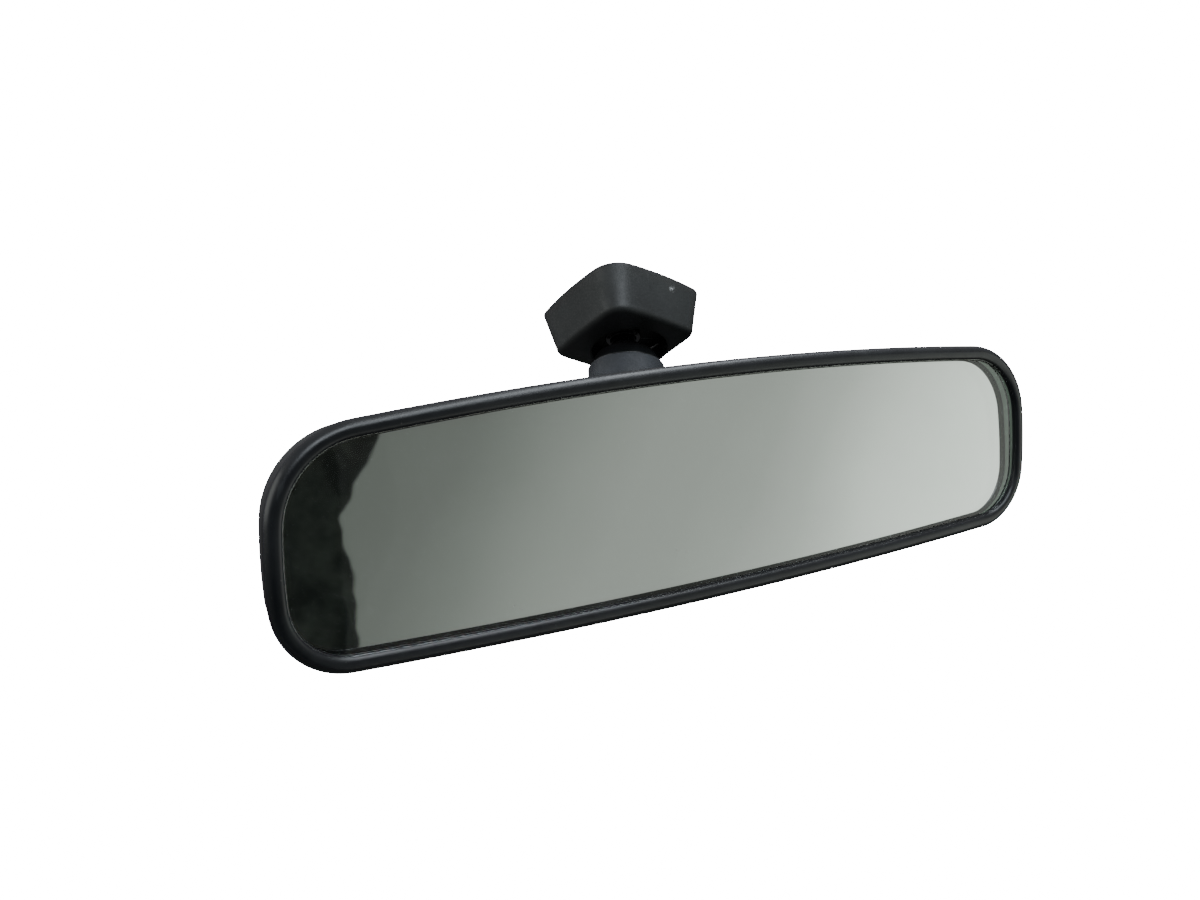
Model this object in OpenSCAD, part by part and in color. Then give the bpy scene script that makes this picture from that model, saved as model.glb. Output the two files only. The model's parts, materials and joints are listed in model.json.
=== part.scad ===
// Interior rearview mirror: prismatic day/night head on a twin-ball arm,
// with a covered mount for a round windscreen button.
// +Z is up, the glass faces -Y, +X runs along the head.
// The origin is the centre of the mount's seat on the windscreen.

/* [Head] */
// Overall width of the head
head_w = 245; // [235:1:255]
// Height from the outline's centre to the crown of the top edge
head_top = 32.35; // [31:0.25:34]
// Height from the outline's centre to the bottom edge
head_bottom = 32.35; // [31:0.25:34]
// Depth of the head from the bezel's face to the back of the case
head_depth = 46; // [45:1:50]
// Radius of the top edge's long curve
top_curve_r = 1250; // [1000:50:1500]
// Radius of the bottom edge's long curve
bottom_curve_r = 2230; // [1800:10:2600]
// Radius of the two end curves
end_curve_r = 140; // [120:5:160]
// Corner radius at the top
top_corner_r = 24; // [20:1:26]
// Corner radius at the bottom
bottom_corner_r = 19; // [16:1:22]

/* [Bezel and glass] */
// Width of the visible rim
rim_w = 4.6; // [4:0.1:5.5]
// Depth of the bezel's skirt
bezel_depth = 12; // [11.5:0.25:12.5]
// How far the glass face lies behind the rim's crown
glass_recess = 1.9; // [1.6:0.1:2.2]
// Glass thickness at the bottom edge
glass_thin = 3.2; // [3:0.1:3.4]
// Glass thickness at the top edge
glass_thick = 5.6; // [5:0.1:5.8]
// Wall thickness of the case
case_wall = 1.8; // [1.5:0.1:2]

/* [Windscreen mount] */
// Angle between the windscreen and the horizontal
rake = 36.3; // [30:0.5:42]
// Turn of the head towards the driver, seen from above
head_yaw = 26; // [15:0.5:30]
// Half width of the cover at the windscreen
cover_half = 19.6; // [19:0.1:21]
// Half width of the cover's lower face
cover_face_half = 15.9; // [15.6:0.1:17]
// Height of the cover
cover_h = 15.2; // [15:0.1:16]
// Turn of the square cover about the mount's axis
cover_turn = 34.3; // [30:0.5:40]
// Radius of the recess in the cover's lower face
recess_r = 11.9; // [11.5:0.1:12.2]
// Radius of the socket for the windscreen button
socket_r = 11; // [10:0.25:11.5]
// Depth of the socket
socket_depth = 5; // [4.5:0.25:5]

/* [Arm and balls] */
// Distance between the two ball centres
arm_span = 32.7; // [32:0.1:36]
// Lean of the arm from the vertical
arm_tilt = 31.1; // [28:0.5:34]
// Compass direction of the arm's lean, from +Y towards +X
arm_heading = 31.7; // [25:0.5:35]
// Outer radius of the tube
tube_r = 11.85; // [11.6:0.05:12]
// Radius of both balls
ball_r = 7; // [6.9:0.05:7.1]
// Upper ball centre below the seat, along the mount's axis
ball_drop = 19.5; // [19:0.25:21]
// Angle of the head's stud above the horizontal
stud_rise = 50; // [46:1:54]

/* [Day and night lever] */
// Tilt of the head between day and night
flip_angle = 4.2; // [3.5:0.1:4.5]
// Swing of the lever between day and night
lever_swing = 40; // [38:1:42]
// Width of the lever's finger tab
lever_w = 22; // [16:1:26]

/* [Hidden] */

$fn = 64;
slip = 0.05;                     // clearance of a running fit
gap = 0.2;                       // clearance of a loose fit
far = 100;                       // larger than any piece it cuts

// Mount: its own frame has +Z out of the seat and +Y up the windscreen
ball_offset_y = 2.8;             // the ball's axis lies this far up from the seat's centre
recess_at = [3.3, 1.85];         // centre of the recess, in the turned cover's frame
cover_bulge = 2.0;               // bow of the cover's sides at the windscreen
cover_corner_r = 5.3;            // corner radius there
face_bulge = 0.45;               // bow of the sides of the lower face
face_corner_r = 2.9;             // corner radius of the lower face
cover_wall = 1.6;                // cover's wall
cover_lift = 0.4;                // gap between the cover's rim and the windscreen
recess_depth = 5.6;              // length of the collar round the recess
base_r = 15.2;                   // mount base's radius
base_h = 9.5;                    // mount base's height
base_groove = 0.8;               // depth of the groove that the cover clips into
spring_pocket = 1.6;             // depth of the pocket below the socket
leaf_t = 0.4;                    // thickness of the leaf springs
rivet_x = 5.5;                   // rivets of the lock spring
rivet_y = -4;
rivet_r = 1;
upper_neck_r = 3.8;              // neck of the upper stud
lower_neck_r = 3.5;              // neck of the lower stud

// Ball joint stations along the arm's axis, counted from a ball's centre
liner_t = 0.9;                   // thickness of a ball liner
cup_r = ball_r + 2 * slip + liner_t;   // spherical radius of the seats and collars
liner_open = 1.5;                // height of the liner's mouth past the ball's centre
rim_back = 2.5;                  // the tube ends this far short of the ball's centre
lip_past = 2.2;                  // the collar ends this far past it
lip_r = 8.9;                     // radius of the collar's lip
spigot = 3;                      // length of the collar inside the tube
tube_wall = 1.6;                 // wall of the tube
bore_r = tube_r - tube_wall;     // bore of the tube
seat_end = 10.5;                 // depth of a cup's flat end
coil_turns = 4;                  // turns of the pressure spring
coil_wire_r = 0.9;               // radius of its wire
coil_r = 7.4;                    // mean radius of its turns

// Head: its own frame has the origin at the outline's centre, in the bezel's front plane
half_w = head_w / 2;
lower_ball_y = 45;               // the head's ball lies this far behind the bezel's face
top_centre = [0, head_top - top_curve_r];
bottom_centre = [0, bottom_curve_r - head_bottom];
end_centre = [half_w - end_curve_r, -6];
long_steps = 6;                  // points on half of a long edge
corner_steps = 8;                // points on a corner
end_steps = 5;                   // points on an end

bezel_draw = 2;                  // how far the bezel's side draws in towards the case
skirt_in = 3;                    // inset of the bezel's inner face
film_t = 0.4;                    // thickness of the backing film
opening_r = 14;                  // radius of the case's opening for the arm
pivot_y = 16;                    // day/night hinge, in the head's frame
pivot_z = 19;
lever_y = 19;                    // lever's pin, in the head's frame
lever_z = -23;
pin_r = 1.5;                     // radius of both pins
ear_x = 24;                      // half width of the bracket's plate
ear_w = 3;                       // thickness of its ears and of the case's lugs
ear_r = 3;                       // radius of the ears round the pin
crank = (pivot_z - lever_z) * sin(flip_angle) / (2 * sin(lever_swing / 2));
crank_r = 1.4;                   // radius of the lever's crank pin
stud_seat = 15;                  // the stud's flange lies this far from the ball's centre
boss_t = 5;                      // thickness of the bracket's boss
boss_half = 5.6;                 // half width of the boss across the stud
flange_t = 2;                    // thickness of the stud's flange
flange_r = 5.1;                  // radius of the stud's flange
shank_r = 2.5;                   // radius of the stud's shank
cheek_x = 10;                    // outer half width of the bracket's cheeks

// Turns a direction or place in the mount's frame into the part's frame
function to_part(p) =
    let (y = p.y * cos(rake) + p.z * sin(rake))
    let (z = p.z * cos(rake) - p.y * sin(rake))
    [y * sin(head_yaw) + p.x * cos(head_yaw), y * cos(head_yaw) - p.x * sin(head_yaw), z];

arm_dir = [sin(arm_tilt) * sin(arm_heading), sin(arm_tilt) * cos(arm_heading), cos(arm_tilt)];
upper_ball = to_part([0, ball_offset_y, -ball_drop]);
lower_ball = upper_ball - arm_span * arm_dir;
head_at = lower_ball - [0, lower_ball_y, 0];
stud_dir = [0, cos(stud_rise), sin(stud_rise)];

// Frames

module in_mount() {
    rotate([0, 0, -head_yaw])
        rotate([-rake, 0, 0])
            children();
}

module in_head() {
    translate(head_at)
        children();
}

// Stands +Z along a direction, at a place
module along(at, dir) {
    translate(at)
        rotate([0, acos(dir.z / norm(dir)), atan2(dir.y, dir.x)])
            children();
}

// Frame of a ball joint: +Z out of the tube's end
module at_upper_ball() {
    along(upper_ball, arm_dir)
        children();
}

module at_lower_ball() {
    along(lower_ball, -arm_dir)
        children();
}

// Frame of the head's stud: +Z from the bracket to the ball
module at_head_stud() {
    along(lower_ball, stud_dir)
        children();
}

// A bar along X, centred on a place
module x_bar(at, r, length) {
    translate(at)
        rotate([0, 90, 0])
            cylinder(r = r, h = length, center = true);
}

module box_at(centre, size) {
    translate(centre)
        cube(size, center = true);
}

// Outline of the head

// Points on an arc, without its last one
function arc(c, r, from, to, steps) =
    [for (i = [0:steps - 1]) let (a = from + (to - from) * i / steps) c + r * [cos(a), sin(a)]];

// Where a circle round p meets one round q; side picks which of the two points
function meet(p, rp, q, rq, side) =
    let (d = norm(q - p), u = (q - p) / d, a = (d * d + rp * rp - rq * rq) / (2 * d))
    p + a * u + side * sqrt(rp * rp - a * a) * [-u.y, u.x];

function bearing(p, q) = atan2(q.y - p.y, q.x - p.x);

top_corner = meet(top_centre, top_curve_r - top_corner_r,
                  end_centre, end_curve_r - top_corner_r, -1);
bottom_corner = meet(bottom_centre, bottom_curve_r - bottom_corner_r,
                     end_centre, end_curve_r - bottom_corner_r, 1);
a_bottom = bearing(bottom_centre, bottom_corner);
a_low = bearing(end_centre, bottom_corner);
a_high = bearing(end_centre, top_corner);
a_top = bearing(top_centre, top_corner);

// Right half of the outline, from the bottom to just short of the top, set in by d
function half_outline(d) = concat(
    arc(bottom_centre, bottom_curve_r - d, -90, a_bottom, long_steps),
    arc(bottom_corner, bottom_corner_r - d, a_bottom, a_low, corner_steps),
    arc(end_centre, end_curve_r - d, a_low, a_high, end_steps),
    arc(top_corner, top_corner_r - d, a_high, a_top, corner_steps),
    arc(top_centre, top_curve_r - d, a_top, 90, long_steps));

function outline(d) =
    let (right = half_outline(d))
    concat(right, [[0, head_top - d]],
           [for (i = [len(right) - 1:-1:1]) [-right[i].x, right[i].y]]);

// A flat slab of the head's outline, from y0 back to y1
module slab(d, y0, y1) {
    translate([0, y1, 0])
        rotate([90, 0, 0])
            linear_extrude(y1 - y0)
                polygon(outline(d));
}

function ring(d, y) = [for (p = outline(d)) [p.x, y, p.y]];

// Side walls between one ring of points and the next
function walls(n, rings, closed) =
    [for (i = [0:rings - (closed ? 1 : 2)], j = [0:n - 1])
        let (a = i * n, b = ((i + 1) % rings) * n, k = (j + 1) % n)
            each [[a + j, b + j, b + k], [a + j, b + k, a + k]]];

// A band swept round the outline: section is a closed list of [inset, depth],
// which runs forward on the outside and back on the inside
module band(section) {
    rings = [for (s = section) each ring(s[0], s[1])];
    n = len(outline(0));
    polyhedron(rings, walls(n, len(section), true), convexity = 6);
}

// Back form of the case: rings that shrink and sink towards the rear, listed rear first
back_steps = 7;
back_end = 84;                   // last angle of the back form, in degrees
back_drop = 15;                  // how far the back's centre lies below the head's
round_x = 0.7;                   // roundness of the back, seen from above
round_z = 0.3;                   // roundness of the back, seen from the end

function shrink(round, a) = round * cos(a) + (1 - round) * (1 - sin(a));

function back_ring(d, y0, y1, a) =
    [for (p = outline(d)) [
        p.x * shrink(round_x, a),
        y0 + (y1 - y0) * sin(a),
        p.y * shrink(round_z, a) - back_drop * sin(a)]];

// The closed back form, set in by d, from y0 back to y1
module back_form(d, y0, y1) {
    n = len(outline(0));
    rings = [for (i = [back_steps:-1:0]) each back_ring(d, y0, y1, i * back_end / back_steps)];
    last = back_steps * n;
    polyhedron(rings,
               concat([[for (j = [0:n - 1]) j]],
                      walls(n, back_steps + 1, false),
                      [[for (j = [n - 1:-1:0]) last + j]]),
               convexity = 4);
}

// Outline of the cover: a square with bowed sides and round corners, as a hull's slice

function bowed_r(half, bow) = (half * half + bow * bow) / (2 * bow);

module bowed_square(half, bow, corner_r) {
    r = bowed_r(half, bow);
    steps = 6;
    c = [half - r, 0];
    // the corner's centre lies on the diagonal, corner_r inside the bowed side
    q = (c.x + sqrt(2 * (r - corner_r) * (r - corner_r) - c.x * c.x)) / 2;
    a = bearing(c, [q, q]);
    side = concat(arc(c, r, -a, a, steps), arc([q, q], corner_r, a, 90 - a, steps));
    polygon([for (k = [0:3], p = side)
        [p.x * cos(90 * k) - p.y * sin(90 * k), p.x * sin(90 * k) + p.y * cos(90 * k)]]);
}

// Tapered body of the cover, set in by d, from z_top down to z_low
module cover_form(d, z_top, z_low) {
    sliver = 0.01;
    hull() {
        translate([0, 0, z_top - sliver])
            linear_extrude(sliver)
                bowed_square(cover_half - d, cover_bulge, cover_corner_r);
        translate([0, 0, z_low])
            linear_extrude(sliver)
                bowed_square(cover_face_half - d, face_bulge, face_corner_r);
    }
}

// Pieces of the windscreen mount

module mount_cover() {
    clip_z = -7.5;               // height of the clips that hold the base's groove
    clip_h = 0.8;
    clip_reach = base_r - base_groove + gap;
    color("#2f3133")
        in_mount()
            rotate([0, 0, cover_turn]) {
                difference() {
                    union() {
                        difference() {
                            cover_form(0, -cover_lift, -cover_h);
                            cover_form(cover_wall, slip, cover_wall - cover_h);
                        }
                        // collar round the recess
                        intersection() {
                            cover_form(cover_wall / 2, -cover_lift, 0.5 - cover_h);
                            translate([recess_at.x, recess_at.y, -cover_h])
                                cylinder(r = recess_r + cover_wall, h = recess_depth);
                        }
                    }
                    translate([recess_at.x, recess_at.y, -far])
                        cylinder(r = recess_r, h = far - cover_h + recess_depth + 0.5);
                }
                // clips
                for (side = [0, 180])
                    rotate([0, 0, side])
                        translate([clip_reach, -3, clip_z - clip_h / 2])
                            cube([16.6 - clip_reach, 6, clip_h]);
            }
}

module mount_base() {
    color("#242526")
        in_mount()
            difference() {
                translate([0, 0, -base_h])
                    cylinder(r = base_r, h = base_h);
                // socket for the button
                translate([0, 0, -socket_depth])
                    cylinder(r = socket_r, h = far);
                // pocket for the leaf spring
                translate([0, 0, -socket_depth - spring_pocket])
                    cylinder(r = socket_r - 1, h = far);
                // groove for the cover's clips
                translate([0, 0, -8.1])
                    difference() {
                        cylinder(r = base_r + 1, h = 1.2);
                        cylinder(r = base_r - base_groove, h = 1.2);
                    }
                // hole for the stud's shank
                translate([0, ball_offset_y, -far])
                    cylinder(r = upper_neck_r - 1 + slip, h = far);
                // holes for the two rivets
                for (x = [-1, 1])
                    translate([x * rivet_x, rivet_y, -far])
                        cylinder(r = rivet_r, h = far);
            }
}

// Leaf with three fingers; it lies on the floor of the pocket
module lock_spring() {
    floor_z = -socket_depth - spring_pocket;
    finger_w = 4.6;
    color("#b9bcc0")
        in_mount()
            difference() {
                union() {
                    translate([0, 0, floor_z])
                        cylinder(r = 7.6, h = leaf_t);
                    for (a = [30, 150, 270])
                        rotate([0, 0, a])
                            translate([6, 0, floor_z])
                                rotate([0, -8, 0])
                                    translate([0, -finger_w / 2, 0])
                                        cube([3.6, finger_w, leaf_t]);
                }
                translate([0, ball_offset_y, -far])
                    cylinder(r = 3.6, h = 2 * far);
                for (x = [-1, 1])
                    translate([x * rivet_x, rivet_y, -far])
                        cylinder(r = rivet_r, h = 2 * far);
            }
}

module spring_rivets() {
    floor_z = -socket_depth - spring_pocket;
    color("#a9acaf")
        in_mount()
            for (x = [-1, 1])
                translate([x * rivet_x, rivet_y, 0]) {
                    translate([0, 0, -base_h])
                        cylinder(r = rivet_r, h = base_h + floor_z + leaf_t);
                    translate([0, 0, floor_z + leaf_t])
                        cylinder(r = 1.7, h = 0.8);
                }
}

module upper_ball_stud() {
    collar_h = 1.8;
    shank_end = -socket_depth - spring_pocket;
    color("#17181a")
        in_mount()
            translate([0, ball_offset_y, 0]) {
                translate([0, 0, -ball_drop])
                    sphere(r = ball_r);
                translate([0, 0, -ball_drop])
                    cylinder(r = upper_neck_r, h = ball_drop - base_h);
                translate([0, 0, -base_h - collar_h])
                    cylinder(r = 5.6, h = collar_h);
                translate([0, 0, -base_h])
                    cylinder(r = upper_neck_r - 1, h = base_h + shank_end + 0.8);
            }
}

// Pieces of the ball joints and the arm; +Z points out of the tube's end

module liner() {
    difference() {
        sphere(r = ball_r + slip + liner_t);
        sphere(r = ball_r + slip);
        translate([0, 0, liner_open + far / 2])
            cube(far, center = true);
    }
}

module collar() {
    difference() {
        rotate_extrude()
            polygon([[0, -rim_back - spigot], [bore_r - slip, -rim_back - spigot],
                     [bore_r - slip, -rim_back], [tube_r - 0.25, -rim_back],
                     [lip_r, lip_past], [0, lip_past]]);
        sphere(r = cup_r);
    }
}

module seat() {
    top = -rim_back - spigot - slip;
    horn = 2.5;                  // length of the horn that guides the spring
    difference() {
        union() {
            translate([0, 0, -seat_end])
                cylinder(r = bore_r - slip, h = seat_end + top);
            translate([0, 0, -seat_end - horn])
                cylinder(r = coil_r - coil_wire_r - gap, h = horn);
        }
        sphere(r = cup_r);
        translate([0, 0, -far])
            cylinder(r = 2, h = far);
    }
}

module upper_liner() {
    color("#d8d6cc")
        along(upper_ball, arm_dir)
            liner();
}

module upper_collar() {
    color("#222426")
        at_upper_ball()
            collar();
}

module upper_seat() {
    color("#d0cec4")
        at_upper_ball()
            seat();
}

module lower_collar() {
    color("#222426")
        at_lower_ball()
            collar();
}

module lower_seat() {
    color("#d0cec4")
        at_lower_ball()
            seat();
}

module lower_liner() {
    color("#d8d6cc")
        along(lower_ball, -stud_dir)
            liner();
}

module arm_tube() {
    length = arm_span - 2 * rim_back;
    color("#35393d")
        along(lower_ball + rim_back * arm_dir, arm_dir)
            difference() {
                cylinder(r = tube_r, h = length);
                translate([0, 0, -1])
                    cylinder(r = bore_r, h = length + 2);
            }
}

// Closed turns stacked between the two cups, each a plain ring
module pressure_spring() {
    room = arm_span - 2 * seat_end;
    pitch = room / coil_turns;
    color("#9a9da1")
        along(lower_ball + seat_end * arm_dir, arm_dir)
            for (i = [0:coil_turns - 1])
                translate([0, 0, pitch * (i + 0.5)])
                    rotate_extrude()
                        translate([coil_r, 0])
                            circle(r = coil_wire_r, $fn = 24);
}

// Pieces of the head's bracket

module pivot_bracket() {
    plate_y = 14.5;
    plate_t = 3;
    plate_low = -15;
    plate_top = 15;
    slot_r = crank_r + gap;
    crank_y = lever_y - crank * sin(lever_swing / 2);
    crank_z = lever_z + crank * cos(lever_swing / 2);
    slot_z = crank_z + 0.5;
    fork_low = crank_z - 1;
    slot_y = crank_y + 0.15;     // the crank drifts back as the head tilts
    color("#77797b")
        in_head()
            difference() {
                union() {
                    // plate
                    translate([-ear_x, plate_y, plate_low])
                        cube([2 * ear_x, plate_t, plate_top - plate_low]);
                    // ears round the hinge pin
                    for (x = [-ear_x, ear_x - ear_w])
                        translate([x, 0, 0]) {
                            translate([0, plate_y, plate_top - 1])
                                cube([ear_w, plate_t, pivot_z - plate_top + 1]);
                            translate([ear_w / 2, 0, 0])
                                x_bar([0, pivot_y, pivot_z], ear_r, ear_w);
                        }
                    // fork that straddles the lever's crank
                    translate([-3, plate_y, fork_low])
                        cube([6, 6, plate_low - fork_low + 1]);
                    // cheeks that carry the stud's boss
                    for (x = [-cheek_x, cheek_x - 3])
                        translate([x, 0, 0])
                            rotate([90, 0, 90])
                                linear_extrude(3)
                                    polygon(cheek_points(plate_y + plate_t - 0.5));
                    // boss
                    boss_block();
                }
                // hole for the stud's shank
                along([0, lower_ball_y, 0], stud_dir)
                    translate([0, 0, -far])
                        cylinder(r = shank_r + slip, h = far);
                // hole for the hinge pin
                x_bar([0, pivot_y, pivot_z], pin_r + slip, far);
                // slot for the crank, open at the bottom
                x_bar([0, slot_y, slot_z], slot_r, 8);
                box_at([0, slot_y, slot_z - 2], [8, 2 * slot_r, 4]);
            }
}

// A point beside the head's stud: s along it from the ball, t across it towards the top
function by_stud(s, t) = [lower_ball_y + s * cos(stud_rise) - t * sin(stud_rise),
                          s * sin(stud_rise) + t * cos(stud_rise)];

function cheek_points(plate_y) = [
    [plate_y, 8],
    by_stud(-stud_seat, boss_half),
    by_stud(-stud_seat, -boss_half),
    by_stud(-stud_seat - boss_t, -boss_half),
    [plate_y, -14.5]];

module boss_block() {
    translate([-cheek_x, 0, 0])
        rotate([90, 0, 90])
            linear_extrude(2 * cheek_x)
                polygon([by_stud(-stud_seat, boss_half), by_stud(-stud_seat, -boss_half),
                         by_stud(-stud_seat - boss_t, -boss_half),
                         by_stud(-stud_seat - boss_t, boss_half)]);
}

module lower_ball_stud() {
    thread_end = 3.5;
    color("#1d1e20")
        at_head_stud() {
            sphere(r = ball_r);
            translate([0, 0, -stud_seat])
                cylinder(r = lower_neck_r, h = stud_seat);
            translate([0, 0, -stud_seat])
                cylinder(r = flange_r, h = flange_t);
            translate([0, 0, -stud_seat - boss_t - thread_end])
                cylinder(r = shank_r, h = boss_t + thread_end);
        }
}

washer_t = 0.6;
nut_h = 2.2;

module lock_washer() {
    color("#aeb1b4")
        at_head_stud()
            translate([0, 0, -stud_seat - boss_t - washer_t])
                difference() {
                    cylinder(r = 4.4, h = washer_t);
                    translate([0, 0, -1])
                        cylinder(r = shank_r, h = 3);
                }
}

module stud_nut() {
    color("#a4a7aa")
        at_head_stud()
            translate([0, 0, -stud_seat - boss_t - washer_t - nut_h])
                difference() {
                    cylinder(r = 4.6, h = nut_h, $fn = 6);
                    translate([0, 0, -1])
                        cylinder(r = shank_r, h = 5);
                }
}

// Pieces of the head

lug_x = ear_x + 2.7;             // centre of the case's hinge lugs
lug_t = 2;                       // thickness of the case's lugs
leaf_z = -23.5;                  // underside of the toggle spring
screw_x = 2.6;                   // the toggle spring's screws
screw_y = 29.5;
screw_r = 0.9;
screw_len = 1.6;

// Ribs and lugs inside the case; the back form trims them to the shell
module case_ribs() {
    rib_t = 1.6;
    // ribs behind the foam pads
    for (x = [-78, -54, 54, 78])
        box_at([x, bezel_depth + far / 2, -4], [rib_t, far, 38]);
    // lugs that hold the hinge pin
    for (side = [-1, 1])
        translate([side * lug_x - lug_t / 2, 12.6, pivot_z - 3])
            cube([lug_t, 7, 20]);
    // lugs that hold the lever's pin
    for (side = [-1, 1])
        translate([side * (lever_w / 2 + 2.4) - lug_t / 2, lever_y - 3, lever_z - 20])
            cube([lug_t, 6, 23]);
    // boss under the toggle spring
    translate([-5.5, screw_y - 2.5, leaf_z - 20])
        cube([11, 5, 20]);
}

module rear_case() {
    trim = case_wall / 2;
    tongue_in = skirt_in + 1.8;
    color("#2b2c2e")
        in_head()
            difference() {
                union() {
                    difference() {
                        back_form(bezel_draw, bezel_depth, head_depth);
                        back_form(bezel_draw + case_wall, bezel_depth - 0.01,
                                  head_depth - case_wall);
                    }
                    // tongue inside the bezel's skirt
                    band([[tongue_in, 10], [tongue_in, bezel_depth + 1.2],
                          [bezel_draw + trim, bezel_depth + 1.2],
                          [bezel_draw + trim, bezel_depth + 0.1],
                          [skirt_in + gap, bezel_depth + 0.1], [skirt_in + gap, 10]]);
                    intersection() {
                        case_ribs();
                        back_form(bezel_draw + trim, bezel_depth, head_depth - trim);
                    }
                }
                // opening for the arm
                along([0, lower_ball_y, 0], stud_dir)
                    translate([0, 0, 4 - stud_seat])
                        cylinder(r = opening_r, h = far);
                // slot for the lever
                box_at([0, lever_y, -30], [lever_w + 2, 13, 9]);
                // bores for the two pins
                x_bar([0, pivot_y, pivot_z], pin_r, 2 * lug_x + 10);
                x_bar([0, lever_y, lever_z], pin_r, lever_w + 12);
                // holes for the spring's screws
                for (x = [-screw_x, screw_x])
                    translate([x, screw_y, leaf_z - screw_len])
                        cylinder(r = screw_r, h = screw_len + 1);
            }
}

module bezel() {
    color("#1f2123")
        in_head()
            band([[bezel_draw, bezel_depth], [0, 2.7], [0.3, 1.4], [1.0, 0.5], [2.1, 0],
                  [3.2, 0.1], [4.1, 0.5], [rim_w, 1.2], [rim_w, glass_recess - slip],
                  [skirt_in, glass_recess - slip], [skirt_in, bezel_depth]]);
}

glass_slope = atan((glass_thick - glass_thin) / (head_top + head_bottom));
glass_in = skirt_in + gap;

// Everything behind a plane parallel to the back of the wedge, shifted back by t
module behind_glass(t) {
    translate([0, glass_recess + (glass_thick + glass_thin) / 2 + t, 0])
        rotate([-glass_slope, 0, 0])
            translate([-2 * far, 0, -far])
                cube([4 * far, far, 2 * far]);
}

module mirror_glass() {
    color("#c9d2d4")
        in_head()
            difference() {
                slab(glass_in, glass_recess, 10);
                behind_glass(0);
            }
}

module backing_film() {
    color("#4b4d50")
        in_head()
            intersection() {
                slab(glass_in + 1, glass_recess, 11);
                difference() {
                    behind_glass(0);
                    behind_glass(film_t);
                }
            }
}

module foam_pads() {
    pad = [46, far, 26];
    color("#26272a")
        in_head()
            for (side = [-1, 1])
                difference() {
                    intersection() {
                        box_at([side * 66, 0, -2], pad);
                        behind_glass(film_t);
                    }
                    translate([-2 * far, bezel_depth, -far])
                        cube([4 * far, far, 2 * far]);
                }
}

module pivot_pin() {
    color("#b4b7ba")
        in_head()
            x_bar([0, pivot_y, pivot_z], pin_r, 2 * lug_x + 6);
}

module pin_clips() {
    color("#54565a")
        in_head()
            for (side = [-1, 1])
                difference() {
                    x_bar([side * (lug_x + 1.6), pivot_y, pivot_z], 2.8, 0.8);
                    x_bar([side * (lug_x + 1.6), pivot_y, pivot_z], pin_r, 4);
                }
}

module lever_pin() {
    color("#b4b7ba")
        in_head()
            x_bar([0, lever_y, lever_z], pin_r, lever_w + 6.8);
}

// Lever at day: its tab leans back by half the swing
module flip_lever() {
    hub_r = 3.4;
    tab_t = 3;
    tab_len = 14.5;
    arm_in = 3.4;                // the crank's arms start this far from the middle
    arm_w = 3;
    color("#232527")
        in_head()
            translate([0, lever_y, lever_z])
                rotate([lever_swing / 2, 0, 0])
                    difference() {
                        union() {
                            difference() {
                                x_bar([0, 0, 0], hub_r, lever_w);
                                // room for the bracket's fork
                                box_at([0, 0, 2.2 + 5], [2 * arm_in, 10, 10]);
                            }
                            translate([-lever_w / 2, -tab_t / 2, -tab_len])
                                cube([lever_w, tab_t, tab_len]);
                            x_bar([0, 0, -tab_len], tab_t / 2, lever_w);
                            for (x = [-arm_in - arm_w, arm_in])
                                translate([x, -1.6, 0])
                                    cube([arm_w, 3.2, crank + crank_r]);
                            x_bar([0, 0, crank], crank_r, 2 * arm_in + 1);
                        }
                        x_bar([0, 0, 0], pin_r + slip, far);
                    }
}

// Leaf that presses on the lever's hub
module toggle_spring() {
    leaf_w = 9;
    tip_y = lever_y + 3.8;
    color("#b3b6ba")
        in_head()
            difference() {
                union() {
                    translate([-leaf_w / 2, tip_y, leaf_z])
                        cube([leaf_w, screw_y + 2 - tip_y, leaf_t]);
                    translate([-leaf_w / 2, tip_y, leaf_z])
                        cube([leaf_w, leaf_t, 2]);
                }
                for (x = [-screw_x, screw_x])
                    translate([x, screw_y, leaf_z - 1])
                        cylinder(r = screw_r, h = 3);
            }
}

module spring_screws() {
    color("#a4a7aa")
        in_head()
            for (x = [-screw_x, screw_x])
                translate([x, screw_y, 0]) {
                    translate([0, 0, leaf_z - screw_len])
                        cylinder(r = screw_r, h = screw_len + leaf_t);
                    translate([0, 0, leaf_z + leaf_t])
                        cylinder(r = 1.7, h = 1);
                }
}

mount_cover();
mount_base();
lock_spring();
spring_rivets();
upper_ball_stud();
upper_liner();
arm_tube();
upper_collar();
lower_collar();
upper_seat();
pressure_spring();
lower_seat();
lower_liner();
pivot_bracket();
lower_ball_stud();
lock_washer();
stud_nut();
rear_case();
bezel();
mirror_glass();
backing_film();
foam_pads();
pivot_pin();
pin_clips();
lever_pin();
toggle_spring();
spring_screws();
flip_lever();
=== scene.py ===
"""Interior rearview mirror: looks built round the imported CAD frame. Lengths are in metres."""
import json
import math

import bmesh
import bpy
from mathutils import Matrix, Vector
from mathutils.bvhtree import BVHTree


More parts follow.
